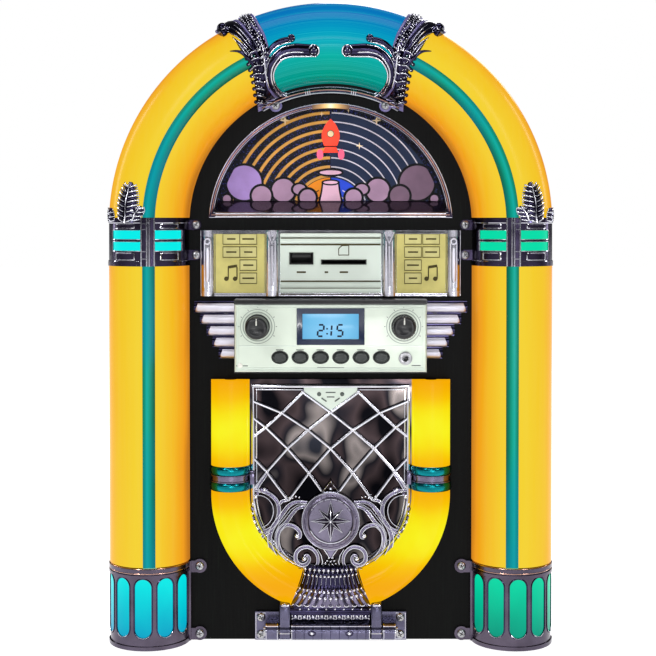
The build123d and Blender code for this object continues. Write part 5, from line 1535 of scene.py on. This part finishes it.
def wings():
    """Stepped chrome ribs with rounded outer ends."""
    for side, name in SIDES:
        bm = bmesh.new()
        for row, end in enumerate(WING_ENDS):
            z = WING_TOP - WING_RIB - row * WING_PITCH
            rows = []
            for u, r in ((WING_START, 1.0), (end - 2.2, 1.0), (end - 1.1, 0.92), (end - 0.3, 0.66), (end, 0.2)):
                arc = [polar(WING_RIB * r, 180 * k / 14 - 90) for k in range(15)]
                rows.append([Vector((side * u, PANEL_Y - 1.3 - deep, z + rise)) for deep, rise in arc])
            skin(bm, rows)
        piece(f"wing_ribs_{name}", bm, "cabinet", WING_CHROME)


# ---------------------------------------------------------------- door
GRILLE_TOP = GRILLE_HIGH.z
GRILLE_HALF = GRILLE_HIGH.x
GRILLE_Y = GRILLE_LOW.y
MEDAL_Z = (MEDAL_LOW.z + MEDAL_HIGH.z) / 2
MEDAL_R = (MEDAL_HIGH.x - MEDAL_LOW.x) / 2
DOOR_WALL = 1.6
DOOR_BEND_DEG = 70.0
TUBE_SWELL = ((0.0, 0.1), (0.08, 0.6), (0.25, 0.85), (0.5, 0.9), (0.75, 0.85), (0.92, 0.6), (1.0, 0.1))
LATTICE = (
    ((15.9, 144.7), (27.9, 132.9), (37.1, 124.6), (44.5, 119.0)),
    ((15.9, 144.7), (0.0, 133.1), (-12.8, 123.0), (-24.7, 112.6), (-36.6, 99.2), (-44.5, 89.0)),
    ((44.5, 139.7), (27.9, 132.9), (12.8, 123.0), (0.0, 112.5), (-12.5, 98.5), (-24.3, 82.6)),
    ((44.5, 130.2), (37.1, 124.6), (24.7, 112.6), (12.5, 98.5), (5.0, 88.0)),
    ((44.5, 107.5), (36.6, 99.2), (24.3, 82.6)),
)


def door_frames(side, straight_steps, bend_steps):
    """Stations down the door's tube and round its bend."""
    result = []
    for k in range(straight_steps + 1):
        z = DOOR_HIGH.z + (DOOR_Z - DOOR_HIGH.z) * k / straight_steps
        result.append((Vector((side * DOOR_TUBE_X, DOOR_LOW.y, z)), Vector((side, 0, 0))))
    for k in range(1, bend_steps + 1):
        a = math.radians(-DOOR_BEND_DEG * k / bend_steps)
        out = Vector((side * math.cos(a), 0, math.sin(a)))
        result.append((out * DOOR_TUBE_X + Vector((0, DOOR_LOW.y, DOOR_Z)), out))
    return result


def door_tubes():
    """Amber tubes down the door and round its foot, closed at the top by a soft-edged lid."""
    section = []
    for r, angles in ((DOOR_TUBE_R, range(180, -1, -6)), (DOOR_TUBE_R - DOOR_WALL, range(0, 181, 6))):
        section += [polar(r, a) for a in angles]
    lid = ((1.0, 1.4), (1.0, 0.6), (0.94, 0.15), (0.8, 0.0), (0.3, 0.0))
    for side, name in SIDES:
        out_x = side * DOOR_TUBE_X
        bm = bmesh.new()
        swept(bm, door_frames(side, 20, 48), section)
        skin(bm, [half_ring(out_x, DOOR_LOW.y, DOOR_TUBE_R * grow, DOOR_HIGH.z - drop) for grow, drop in lid])
        piece(f"door_tube_{name}", bm, "door", DOOR_AMBER, ["door_tubes"])


def tube_rings():
    """Teal double ring and purple-chrome waist round each door tube."""
    y = DOOR_LOW.y
    for side, name in SIDES:
        out_x = side * DOOR_TUBE_X
        for low, high, part in ((88.9, 94.0, "lower"), (98.0, 103.1, "upper")):
            bm = bmesh.new()
            skin(bm, [half_ring(out_x, y, DOOR_TUBE_R + bulge, low + (high - low) * t) for t, bulge in TUBE_SWELL])
            piece(f"tube_ring_{part}_{name}", bm, "door", RING_TEAL, ["tube_rings"])
        bm = bmesh.new()
        for z in (94.3, 97.7):
            rod(bm, half_ring(out_x, y, DOOR_TUBE_R + 0.4, z), 0.45, 6)
        skin(bm, [half_ring(out_x, y, DOOR_TUBE_R + 0.2, z) for z in (94.0, 95.0, 96.0, 97.0, 98.0)])
        inner = side * (DOOR_TUBE_X - DOOR_TUBE_R - 1.6)
        block(bm, (inner - 1.4, GRILLE_Y - 1.9, 92.0), (inner + 1.4, GRILLE_Y + 0.1, 100.0), 0.5)
        piece(f"tube_waist_{name}", bm, "door", CREST_CHROME, ["tube_rings"])


def grille_frame(bm):
    """Double edge round the lattice: level at the top, round at the bottom."""
    for inset, wire, lift in ((1.0, 1.15, 0.4), (3.0, 0.5, 0.0)):
        half, top = GRILLE_HALF - inset, GRILLE_TOP - inset
        path = [(half, DOOR_Z), (half, 100.0), (half, 120.0), (half, top), (0.0, top), (-half, top), (-half, 120.0),
                (-half, 100.0), (-half, DOOR_Z)]
        path += circle(0, DOOR_Z, half, 60, 183, 174)
        rod(bm, raised(path, GRILLE_Y + 1.0 - lift), wire, 8, closed=True)


def lattice(bm):
    """Crossing bars in the upper half of the grille, with a stud on each crossing."""
    for wire in LATTICE:
        for side in (-1, 1):
            points = raised(mirrored(wire, side), GRILLE_Y + 0.7)
            rod(bm, points, 1.0, 8, 0.9)
            rod(bm, [p + FRONT * 0.75 for p in points], 0.3, 6)
    crossings = [(0, 133.1), (0, 112.5)]
    for side in (-1, 1):
        crossings += [(side * x, z) for x, z in ((27.9, 132.9), (37.1, 124.6), (12.8, 123), (24.7, 112.6), (36.6, 99.2),
                                                (12.5, 98.5), (15.9, 144.7))]
    for x, z in crossings:
        ball(bm, (x, GRILLE_Y + 0.4, z), 1.25, 0.7, 10)


BAND_OUT = ((13.4, 81.4), (19.1, 81.8), (23.2, 80.2), (26.2, 77.0), (29.4, 72.4), (33.0, 67.4), (35.0, 61.2),
            (34.0, 55.0), (30.6, 49.4), (24.6, 44.8), (17.0, 42.2))
BAND_IN = ((13.4, 79.2), (18.6, 78.2), (22.0, 74.9), (25.6, 69.9), (29.2, 66.1), (30.4, 60.5), (29.2, 54.8),
           (25.8, 50.2), (20.0, 46.2))
OVAL = ((43.6, 88.4), (39.4, 88.0), (34.6, 86.0), (30.6, 81.8), (29.6, 76.0), (31.4, 70.0), (35.4, 66.0), (41.0, 64.4))
OVAL_IN = ((42.6, 85.6), (39.0, 85.2), (35.6, 83.2), (33.2, 79.6), (32.8, 75.4), (34.2, 71.2), (37.0, 68.2),
           (40.6, 66.8))
CURL = ((30.3, 55.5), (30.6, 60.5), (29.4, 64.9), (26.3, 68.2), (22.8, 68.4), (19.6, 66.8), (17.6, 64.2), (17.6, 61.6),
        (19.2, 61.0))
VOLUTE = ((9.4, 43.2), (7.4, 46.8), (7.6, 51.0), (9.9, 54.4), (13.4, 56.0), (17.4, 55.0), (19.8, 52.2), (19.8, 48.2),
          (17.2, 45.6), (13.8, 46.2), (12.2, 48.8), (13.2, 51.0), (15.2, 50.6))


def stroke(body, lines, points, half, side, lift=0.0):
    """Broad raised band on the grille with a bright line along each edge."""
    flat = smooth_path(mirrored(points, side), 6)
    path = [Vector((p.x, GRILLE_Y + 0.5 - lift, p.y)) for p in flat]
    rod(body, path, [half * 0.6, half, half, half * 0.7], 8, 0.55)
    n = len(path)
    for way in (-1, 1):
        edge = []
        for i, p in enumerate(path):
            ahead = (path[min(i + 1, n - 1)] - path[max(i - 1, 0)]).normalized()
            across = ahead.cross(FRONT).normalized()
            taper = 0.6 + 0.4 * math.sin(math.pi * i / (n - 1))
            edge.append(p + across * way * half * 0.72 * taper + FRONT * (0.4 * half + 0.1))
        rod(lines, edge, [0.2, 0.4, 0.4, 0.2], 6)


def scrollwork(body, lines):
    """Foliate scrolls that fill the lower half of the grille, left and right."""
    y = GRILLE_Y
    for side in (-1, 1):
        stroke(body, lines, BAND_OUT, 1.5, side)
        stroke(body, lines, BAND_IN, 1.3, side)
        rod(lines, raised(mirrored(between(BAND_OUT, BAND_IN, 0.5), side), y - 0.2), 0.3, 6)
        stroke(body, lines, OVAL, 1.3, side)
        rod(lines, raised([(p.x, p.y) for p in smooth_path(mirrored(OVAL_IN, side))], y), [0.3, 0.5, 0.3], 6)
        stroke(body, lines, CURL, 1.3, side, lift=0.2)
        stroke(body, lines, VOLUTE, 1.25, side, lift=0.3)
        ball(lines, (side * 15.0, y - 0.6, 49.2), 1.5, 0.7, 12)
        ball(lines, (side * 19.2, y - 0.4, 62.2), 1.5, 0.7, 12)
        stroke(body, lines, ((33.6, 64.6), (38.4, 62.4), (41.4, 58.6)), 1.0, side)
        stroke(body, lines, ((36.4, 98.0), (40.4, 92.4), (42.4, 88.6)), 0.9, side)
        stroke(body, lines, ((24.3, 82.6), (27.4, 82.4), (30.2, 79.6)), 0.9, side)
        for k in range(17):
            a = math.radians(104 - 12.2 * k)
            spot = (side * (38.2 + 6.6 * math.cos(a)), y + 0.2, 76.4 + 12.4 * math.sin(a))
            ball(lines if k % 2 else body, spot, 0.95 + 0.25 * (k % 3), 0.7, 10)
        for k in range(5):
            ball(lines, (side * (42.4 - 0.5 * k), y + 0.3, 70.6 - 1.6 * k), 0.7, 0.8, 8)
            ball(lines, (side * (18.0 + 1.9 * k), y, 84.4 + 0.5 * math.sin(2.0 * k)), 0.62, 0.8, 8)
            ball(lines, (side * (24.6 + 1.5 * k), y + 0.1, 68.9 - 0.7 * k), 0.5, 0.8, 8)
        rod(lines, raised(mirrored(((4.6, 55.4), (2.4, 52.6), (0.6, 49.6)), side), y - 0.2), [0.3, 0.55, 0.3], 6)
        tendril = ((7.6, 54.6), (5.4, 51.0), (4.6, 47.4), (5.6, 43.6))
        rod(lines, raised(mirrored(tendril, side), y - 0.2), [0.3, 0.5, 0.3], 6)
    plate(body, [(-3.4, 55.6), (-3.2, 52.0), (0, 49.4), (3.2, 52.0), (3.4, 55.6)], y - 0.1, y + 1.6, 0.3)
    for row in range(4):
        for k in range(row + 2):
            x = (k - (row + 1) / 2) * 2.0
            ball(lines, (x, y - 0.4, 49.4 - 1.9 * row + 0.25 * abs(x)), 0.72, 0.8, 8)


def head_tab():
    """Silver tab between the lattice's two peaks, with its latch studs."""
    bm = bmesh.new()
    outline = [(-15.4, GRILLE_TOP - 1.6), (-15.2, 145.2), (0, 134.2), (15.2, 145.2), (15.4, GRILLE_TOP - 1.6)]
    plate(bm, outline, GRILLE_Y + 0.1, GRILLE_Y + 1.9, 0.3)
    piece("door_tab", bm, "door", SILVER)
    bm = bmesh.new()
    for side in (-1, 1):
        ball(bm, (side * 6.6, GRILLE_Y + 0.1, 143.6), 1.25, 0.5, 14)
        rod(bm, [(side * 2.4, GRILLE_Y, 139.4), (side * 5.2, GRILLE_Y, 141.4)], 0.4, 6)
    for x0, x1, z in ((-2.8, 2.8, 144.6), (-2.2, 2.2, 142.0)):
        rod(bm, [(x0, GRILLE_Y + 0.1, z), (x1, GRILLE_Y + 0.1, z)], 0.35, 6, 0.5)
    piece("door_tab_marks", bm, "door", INK_GREY)


def star_rays():
    """Reach, half width, direction and cross direction of each ray of the medallion's star."""
    for k in range(8):
        a = math.radians(45 * k)
        reach, wide = (11.4, 2.0) if k % 2 == 0 else (9.6, 1.4)
        yield reach, wide, Vector((math.sin(a), 0, math.cos(a))), Vector((math.cos(a), 0, -math.sin(a)))


def medallion():
    """Turned plate with beads round it, its line work and its faceted star."""
    y = MEDAL_LOW.y
    bm = bmesh.new()
    profile = [(MEDAL_R, GRILLE_Y + 0.2), (MEDAL_R, y + 1.4), (MEDAL_R - 0.6, y + 0.5), (MEDAL_R - 1.6, y + 0.3),
               (MEDAL_R - 2.0, y + 0.7), (MEDAL_R - 2.9, y + 0.5), (MEDAL_R - 3.5, y), (12.9, y + 0.2), (12.6, y + 1.0),
               (12.3, y + 1.5), (0.0, y + 1.4)]
    spun(bm, profile, 0, MEDAL_Z, 96)
    beads = [(14.7, 15 * k + 7.5, 0.62, 0.8) for k in range(24)] + [(12.5, deg, 0.8, 0.7) for deg in range(36, 145, 18)]
    for r, deg, size, squash in beads:
        u, v = polar(r, deg)
        ball(bm, (u, y + 0.6, MEDAL_Z + v), size, squash, 8)
    piece("medallion", bm, "door", MEDAL_CHROME, ["door_medallion"], smooth=40)
    bm = bmesh.new()
    rod(bm, raised([(-4.6, 87.8), (0.0, 93.8), (4.6, 87.8)], y + 1.2), 0.75, 8, closed=True)
    ball(bm, (0, y + 1.4, 89.6), 0.9, segments=10)
    for r, start, sweep, wire in ((12.6, 205, 130, 0.45), (12.7, 30, 120, 0.3), (16.4, 0, 359, 0.3)):
        rod(bm, raised(circle(0, MEDAL_Z, r, 48, start, sweep), y + 0.5), wire, 6)
    centre = Vector((0, y + 1.0, MEDAL_Z))
    for reach, wide, along, across in star_rays():
        ridge = [centre + FRONT * 1.4, centre + along * 3.4 + FRONT * 1.7, centre + along * reach]
        rod(bm, ridge, [0.2, 0.26, 0.12], 6)
        for way in (-1, 1):
            rod(bm, [centre + along * 3.2 + across * way * wide, centre + along * reach], [0.22, 0.14], 6)
    piece("medallion_lines", bm, "door", CHROME, smooth=40)
    bm = bmesh.new()
    centre = Vector((0, y + 1.2, MEDAL_Z))
    for reach, wide, along, across in star_rays():
        tip, left, right, heart, ridge, top = (bm.verts.new(centre + shift) for shift in (
            along * reach, along * 3.2 - across * wide, along * 3.2 + across * wide, Vector(),
            along * 3.4 + FRONT * 1.9, FRONT * 1.5))
        for face in ((tip, ridge, left), (tip, right, ridge), (left, ridge, top), (left, top, heart),
                     (right, top, ridge), (right, heart, top)):
            bm.faces.new(face)
    piece("medallion_star", bm, "door", STAR_CHROME, smooth=12)


PEDESTAL = ((45.4, 14.6, 4.4), (43.6, 15.0, 5.6), (41.6, 15.2, 6.2), (39.4, 15.6, 6.4), (36.4, 16.6, 6.6),
            (33.0, 18.0, 7.0), (30.4, 20.2, 7.8), (27.4, 22.6, 8.2), (24.6, 24.8, 8.4), (22.6, 26.4, 8.4))
BELT_LOW, BELT_HIGH = 32.6, 41.0
STUD_ROWS = ((43.6, 12, 0.95, 0.4), (40.6, 14, 0.8, 0.8), (32.8, 16, 0.85, 1.8), (29.9, 15, 1.0, 2.2))
ARM_X = (22.7, 29.3)
PIN_LOW, PIN_HIGH = ends("hinge_pin")
HINGE_Y, HINGE_Z = (PIN_LOW.y + PIN_HIGH.y) / 2, (PIN_LOW.z + PIN_HIGH.z) / 2


def pedestal_point(z, t):
    """Point on the pedestal's face: t runs from -1 to 1 across it."""
    rows = PEDESTAL
    at = next((i for i in range(len(rows) - 1) if rows[i + 1][0] <= z), len(rows) - 2)
    (z0, half0, deep0), (z1, half1, deep1) = rows[at], rows[at + 1]
    share = (z0 - z) / (z0 - z1)
    half = half0 + (half1 - half0) * share
    deep = deep0 + (deep1 - deep0) * share
    return Vector((half * t, DOOR_LOW.y - max(deep * math.sqrt(max(0.0, 1 - 0.8 * t * t)), 0.5), z))


def barrel(x, r, deg):
    """Point on a barrel round the hinge pin, in degrees from its top towards the viewer."""
    u, v = polar(r, deg)
    return Vector((x, HINGE_Y - v, HINGE_Z + u))


def pedestal_shell():
    """Dark ribbed belt between the rows of studs, and pale flutes below it."""
    y = DOOR_LOW.y
    for name, low, high, lobes, deep, tone in (("belt", BELT_LOW, 45.4, 8.5, 0.45, NIGHT_CHROME),
                                               ("flutes", 22.6, BELT_LOW, 5.5, 1.0, CREST_CHROME)):
        bm = bmesh.new()
        rows = []
        for step in range(13):
            z = high + (low - high) * step / 12
            half = pedestal_point(z, 1).x
            row = [Vector((-half, y, z))]
            for k in range(89):
                t = k / 44 - 1
                row.append(pedestal_point(z, t) + FRONT * (deep * abs(math.sin(lobes * math.pi * t)) - 0.6))
            row.append(Vector((half, y, z)))
            rows.append(row)
        skin(bm, rows)
        piece(f"pedestal_{name}", bm, "door", tone, ["door_pedestal"], smooth=60)


def pedestal_studs():
    """Rows of studs with drops, ribs of the belt, crescents in the flutes and the bright edges."""
    bm = bmesh.new()
    for z, count, size, sag in STUD_ROWS:
        for k in range(count):
            t = (2 * k / (count - 1) - 1) * 0.96
            place = z - sag * (1 - t * t)
            ball(bm, pedestal_point(place, t) + FRONT * 0.3, size, 0.8, 12)
            if size > 0.9:
                drop = [pedestal_point(place, t) + FRONT * 0.2, pedestal_point(place - 1.7, t) + FRONT * 0.1]
                rod(bm, drop, [0.5, 0.15], 6)
    for k in range(13):
        t = (k / 6 - 1) * 0.95
        rod(bm, [pedestal_point(BELT_HIGH - 1.6, t), pedestal_point(35.0, t)], [0.12, 0.28, 0.12], 6)
    for k in range(11):
        centre = pedestal_point(24.2, (k / 5 - 1) * 0.9) + FRONT * 0.7
        crescent = [centre + Vector((1.4 * math.cos(a), 0, 1.1 * math.sin(a))) for a in (3.3, 4.0, 4.7, 5.4, 6.1)]
        rod(bm, crescent, 0.34, 6)
    for side in (-1, 1):
        rod(bm, [Vector((side * (half + 0.1), DOOR_LOW.y - 1.6, z)) for z, half, _ in PEDESTAL], 0.5, 8)
    piece("pedestal_studs", bm, "door", CHROME)


def pedestal_base():
    """Cornice under the flutes and its scalloped apron."""
    y = DOOR_LOW.y
    bm = bmesh.new()
    block(bm, (-23.6, y - 8.6, 18.4), (23.6, y - 0.4, 22.9), 0.9)
    level(bm, -23.0, 23.0, y - 8.0, 20.6, 1.3, 10)
    block(bm, (-22.0, y - 7.4, 15.4), (22.0, y - 3.4, 18.6), 0.4)
    piece("pedestal_cornice", bm, "door", NIGHT_CHROME)
    bm = bmesh.new()
    for k in range(9):
        x = -20.0 + 5.0 * k
        rod(bm, raised(circle(x, 18.1, 2.0, 16, 180, 180), y - 7.6), 0.42, 8)
        ball(bm, (x, y - 7.6, 17.6), 0.8, 0.8, 10)
        ball(bm, (x + 2.5, y - 8.7, 21.8), 0.6, 0.8, 10)
        for way in (-1, 1):
            rod(bm, raised(((x + way * 2.2, 15.8), (x + way * 1.2, 16.4), (x, 16.8)), y - 7.5), 0.3, 6)
    piece("pedestal_apron", bm, "door", CHROME)


def pedestal_arms():
    """Arms that join the door to the hinge pin, and their bright lines."""
    bm, lines = bmesh.new(), bmesh.new()
    for side in (-1, 1):
        low, high = sorted((side * ARM_X[0], side * ARM_X[1]))
        ends_and_sides = ((low, 0.88), (low + 0.5, 1.0), (high - 0.5, 1.0), (high, 0.88))
        rows = [[barrel(x, 4.8 * grow, 10 * k) for k in range(36)] for x, grow in ends_and_sides]
        skin(bm, rows, wrap_cols=True, caps=True)
        block(bm, (low + 0.4, HINGE_Y - 3.6, HINGE_Z), (high - 0.4, HINGE_Y + 4.6, 25.2), 0.7)
        block(bm, (low + 0.9, HINGE_Y - 4.4, 16.0), (high - 0.9, HINGE_Y + 2.6, 24.6), 1.2)
        brow = [(side * 24.0, 24.6), (side * 26.0, 25.2), (side * 28.0, 24.6)]
        rod(lines, raised(brow, HINGE_Y - 3.6), [0.6, 1.1, 0.6], 8)
        for deg in (38, 90, 142):
            rod(lines, [barrel(side * 26.0 + shift, 4.9, deg) for shift in (-2.9, 2.9)], 0.32, 6)
    piece("pedestal_arms", bm, "door", HINGE_CHROME)
    piece("pedestal_arm_lines", lines, "door", CHROME)


def hinge_trim():
    """Ribs and rounded corners on the hinge block, its knuckles and side plates."""
    bm = bmesh.new()
    for k in range(9):
        rod(bm, [barrel(5.0 * k - 20.0, 4.72, deg) for deg in range(20, 161, 10)], 0.22, 6)
    for x in (-10.6, 10.6):
        rim = [Vector((x + 2.0 * math.cos(a), HINGE_Y - 5.0, HINGE_Z + 1.3 * math.sin(a)))
               for a in [0.35 * k for k in range(18)]]
        rod(bm, rim, 0.3, 6, closed=True)
    piece("hinge_grooves", bm, "cabinet", NIGHT_CHROME)
    bm = bmesh.new()
    for x in (-22.0, 22.0, -30.2, 30.2, -36.6, 36.6):
        rod(bm, [barrel(x, 4.6, deg) for deg in range(0, 181, 12)], 0.3, 6)
    for side in (-1, 1):
        path = [(side * 37.5, 2.2), (side * 43.0, 2.2), (side * 43.0, 17.0), (side * 37.5, 17.0)]
        rod(bm, raised(path, PANEL_Y - 2.3), 0.3, 6)
    for x in (-10.6, 10.6):
        ball(bm, (x, HINGE_Y - 4.8, HINGE_Z), 1.1, 0.4, 12)
    for low, high in ((-22.0, 22.0), (30.0, 36.8), (-36.8, -30.0)):
        rod(bm, [barrel(x, 4.7, 40) for x in (low + 0.4, high - 0.4)], 0.3, 6)
    piece("hinge_mouldings", bm, "cabinet", CHROME)


def door_front():
    """Everything on the face of the door but its tubes."""
    bm = bmesh.new()
    grille_frame(bm)
    lattice(bm)
    piece("grille_lattice", bm, "door", CHROME, ["door_grille"])
    body, lines = bmesh.new(), bmesh.new()
    scrollwork(body, lines)
    piece("grille_scrolls", body, "door", CREST_CHROME, smooth=60)
    piece("grille_scroll_edges", lines, "door", CHROME, smooth=60)
    head_tab()
    medallion()
    pedestal_shell()
    pedestal_studs()
    pedestal_base()
    pedestal_arms()


# ---------------------------------------------------------------- finishes of the CAD pieces
def finish_cad():
    """Materials of the CAD nodes that no piece replaces."""
    finishes = {
        "cabinet_shell": WRAP, "bottom_board": BACK_BOARD, "front_panel": BOARD_BLACK, "back_cover": BACK_BOARD,
        "back_screws": STEEL, "rubber_feet": RUBBER, "column_band_left": DARK_CHROME, "column_band_right": DARK_CHROME,
        "base_cap_left": CAP_CHROME, "base_cap_right": CAP_CHROME, "accent_lenses": CYAN, "light_strips": LED,
        "dome_window": WINDOW, "dome_tray": TRAY, "art_board": NIGHT, "selector_frame": CHROME, "title_cards": CARD,
        "media_plate": SILVER, "media_sockets": WELL_BLACK, "control_housing": BLACK, "control_fascia": FASCIA,
        "lcd_module": NAVY, "headphone_jack": SATIN, "control_board": CIRCUIT, "wing_trims": NIGHT_CHROME,
        "door_panel": BRONZE, "hinge_brackets": HINGE_CHROME, "hinge_pin": STEEL,
        "cd_bay": WELL_BLACK, "cd_deck": STEEL, "spindle_hub": WELL_BLACK, "laser_sled": BLACK, "sled_gear": LED,
        "main_board": CIRCUIT, "speakers": CONE, "power_inlet": BLACK, "power_rocker": WELL_BLACK, "line_jack": SATIN,
    }
    for node, material in finishes.items():
        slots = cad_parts[node].material_slots
        if not len(slots):
            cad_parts[node].data.materials.append(material)
        for entry in slots:
            entry.material = material


# ---------------------------------------------------------------- stage
CAMERA_AT = Vector((0.0, -0.8615, 0.2442))
CAMERA_TILT = 1.0
LENS = 76.5
STUDIO_DARK = (0.075, 0.075, 0.085, 1)
SHIFT_X = -0.004
SHIFT_Y = -0.13


def area(name, place, aim, size, power):
    """Soft rectangular studio light."""
    data = bpy.data.lights.new(name, "AREA")
    data.shape = "RECTANGLE"
    data.size, data.size_y = size
    data.energy = power
    lamp = bpy.data.objects.new(name, data)
    lamp.location = place
    lamp.rotation_euler = (Vector(aim) - Vector(place)).to_track_quat("-Z", "Y").to_euler()
    SCENE.collection.objects.link(lamp)


def stage():
    """Floor, white background seen only by the camera, lights and camera."""
    mesh = bpy.data.meshes.new("floor")
    mesh.from_pydata([(-6, -6, 0), (6, -6, 0), (6, 6, 0), (-6, 6, 0)], [], [(0, 1, 2, 3)])
    floor = bpy.data.objects.new("floor", mesh)
    mesh.materials.append(floor_pale())
    SCENE.collection.objects.link(floor)
    world = bpy.data.worlds.new("studio")
    SCENE.world = world
    world.use_nodes = True
    tree = world.node_tree
    shade = tree.nodes["Background"]
    path = tree.nodes.new("ShaderNodeLightPath")
    tone = tree.nodes.new("ShaderNodeMix")
    tone.data_type = "RGBA"
    tone.inputs[6].default_value = STUDIO_DARK
    tone.inputs[7].default_value = (1, 1, 1, 1)
    tree.links.new(path.outputs["Is Camera Ray"], tone.inputs[0])
    tree.links.new(tone.outputs[2], shade.inputs["Color"])
    shade.inputs["Strength"].default_value = 1.0
    area("key", (-0.75, -1.3, 1.0), (0, 0, 0.2), (0.16, 0.5), 5)
    area("fill", (0.85, -1.2, 0.75), (0, 0, 0.2), (0.14, 0.6), 4)
    area("top", (0, -0.25, 1.5), (0, 0, 0.2), (1.1, 0.5), 6)
    area("front", (-0.12, -1.7, 0.62), (0, 0, 0.2), (0.9, 0.12), 4)
    area("low", (0.2, -1.5, 0.06), (0, 0, 0.15), (0.5, 0.05), 1.5)
    for name, side in (("rim_left", -1), ("rim_right", 1)):
        area(name, (side * 1.1, 0.35, 0.6), (0, 0, 0.2), (0.1, 0.8), 3)
    area("back", (0.4, 1.5, 1.0), (0, 0, 0.2), (0.9, 0.6), 7)
    camera = bpy.data.cameras.new("camera")
    camera.lens = LENS
    camera.shift_x = SHIFT_X
    camera.shift_y = SHIFT_Y
    camera.clip_start = 0.01
    view = bpy.data.objects.new("camera", camera)
    view.location = CAMERA_AT
    view.rotation_euler = (math.radians(90 - CAMERA_TILT), 0, 0)
    SCENE.collection.objects.link(view)
    SCENE.camera = view
    SCENE.view_settings.view_transform = "Standard"


lit_tubes()
bands()
base_caps()
screw_heads()
crest()
bezel()
picture()
selector()
title_cards()
media_trim()
hood()
fascia_trim()
display()
knob("volume_knob", -1, 0)
knob("tuning_knob", 1, 24)
keys()
sockets()
wings()
door_tubes()
tube_rings()
door_front()
hinge_trim()
finish_cad()
stage()
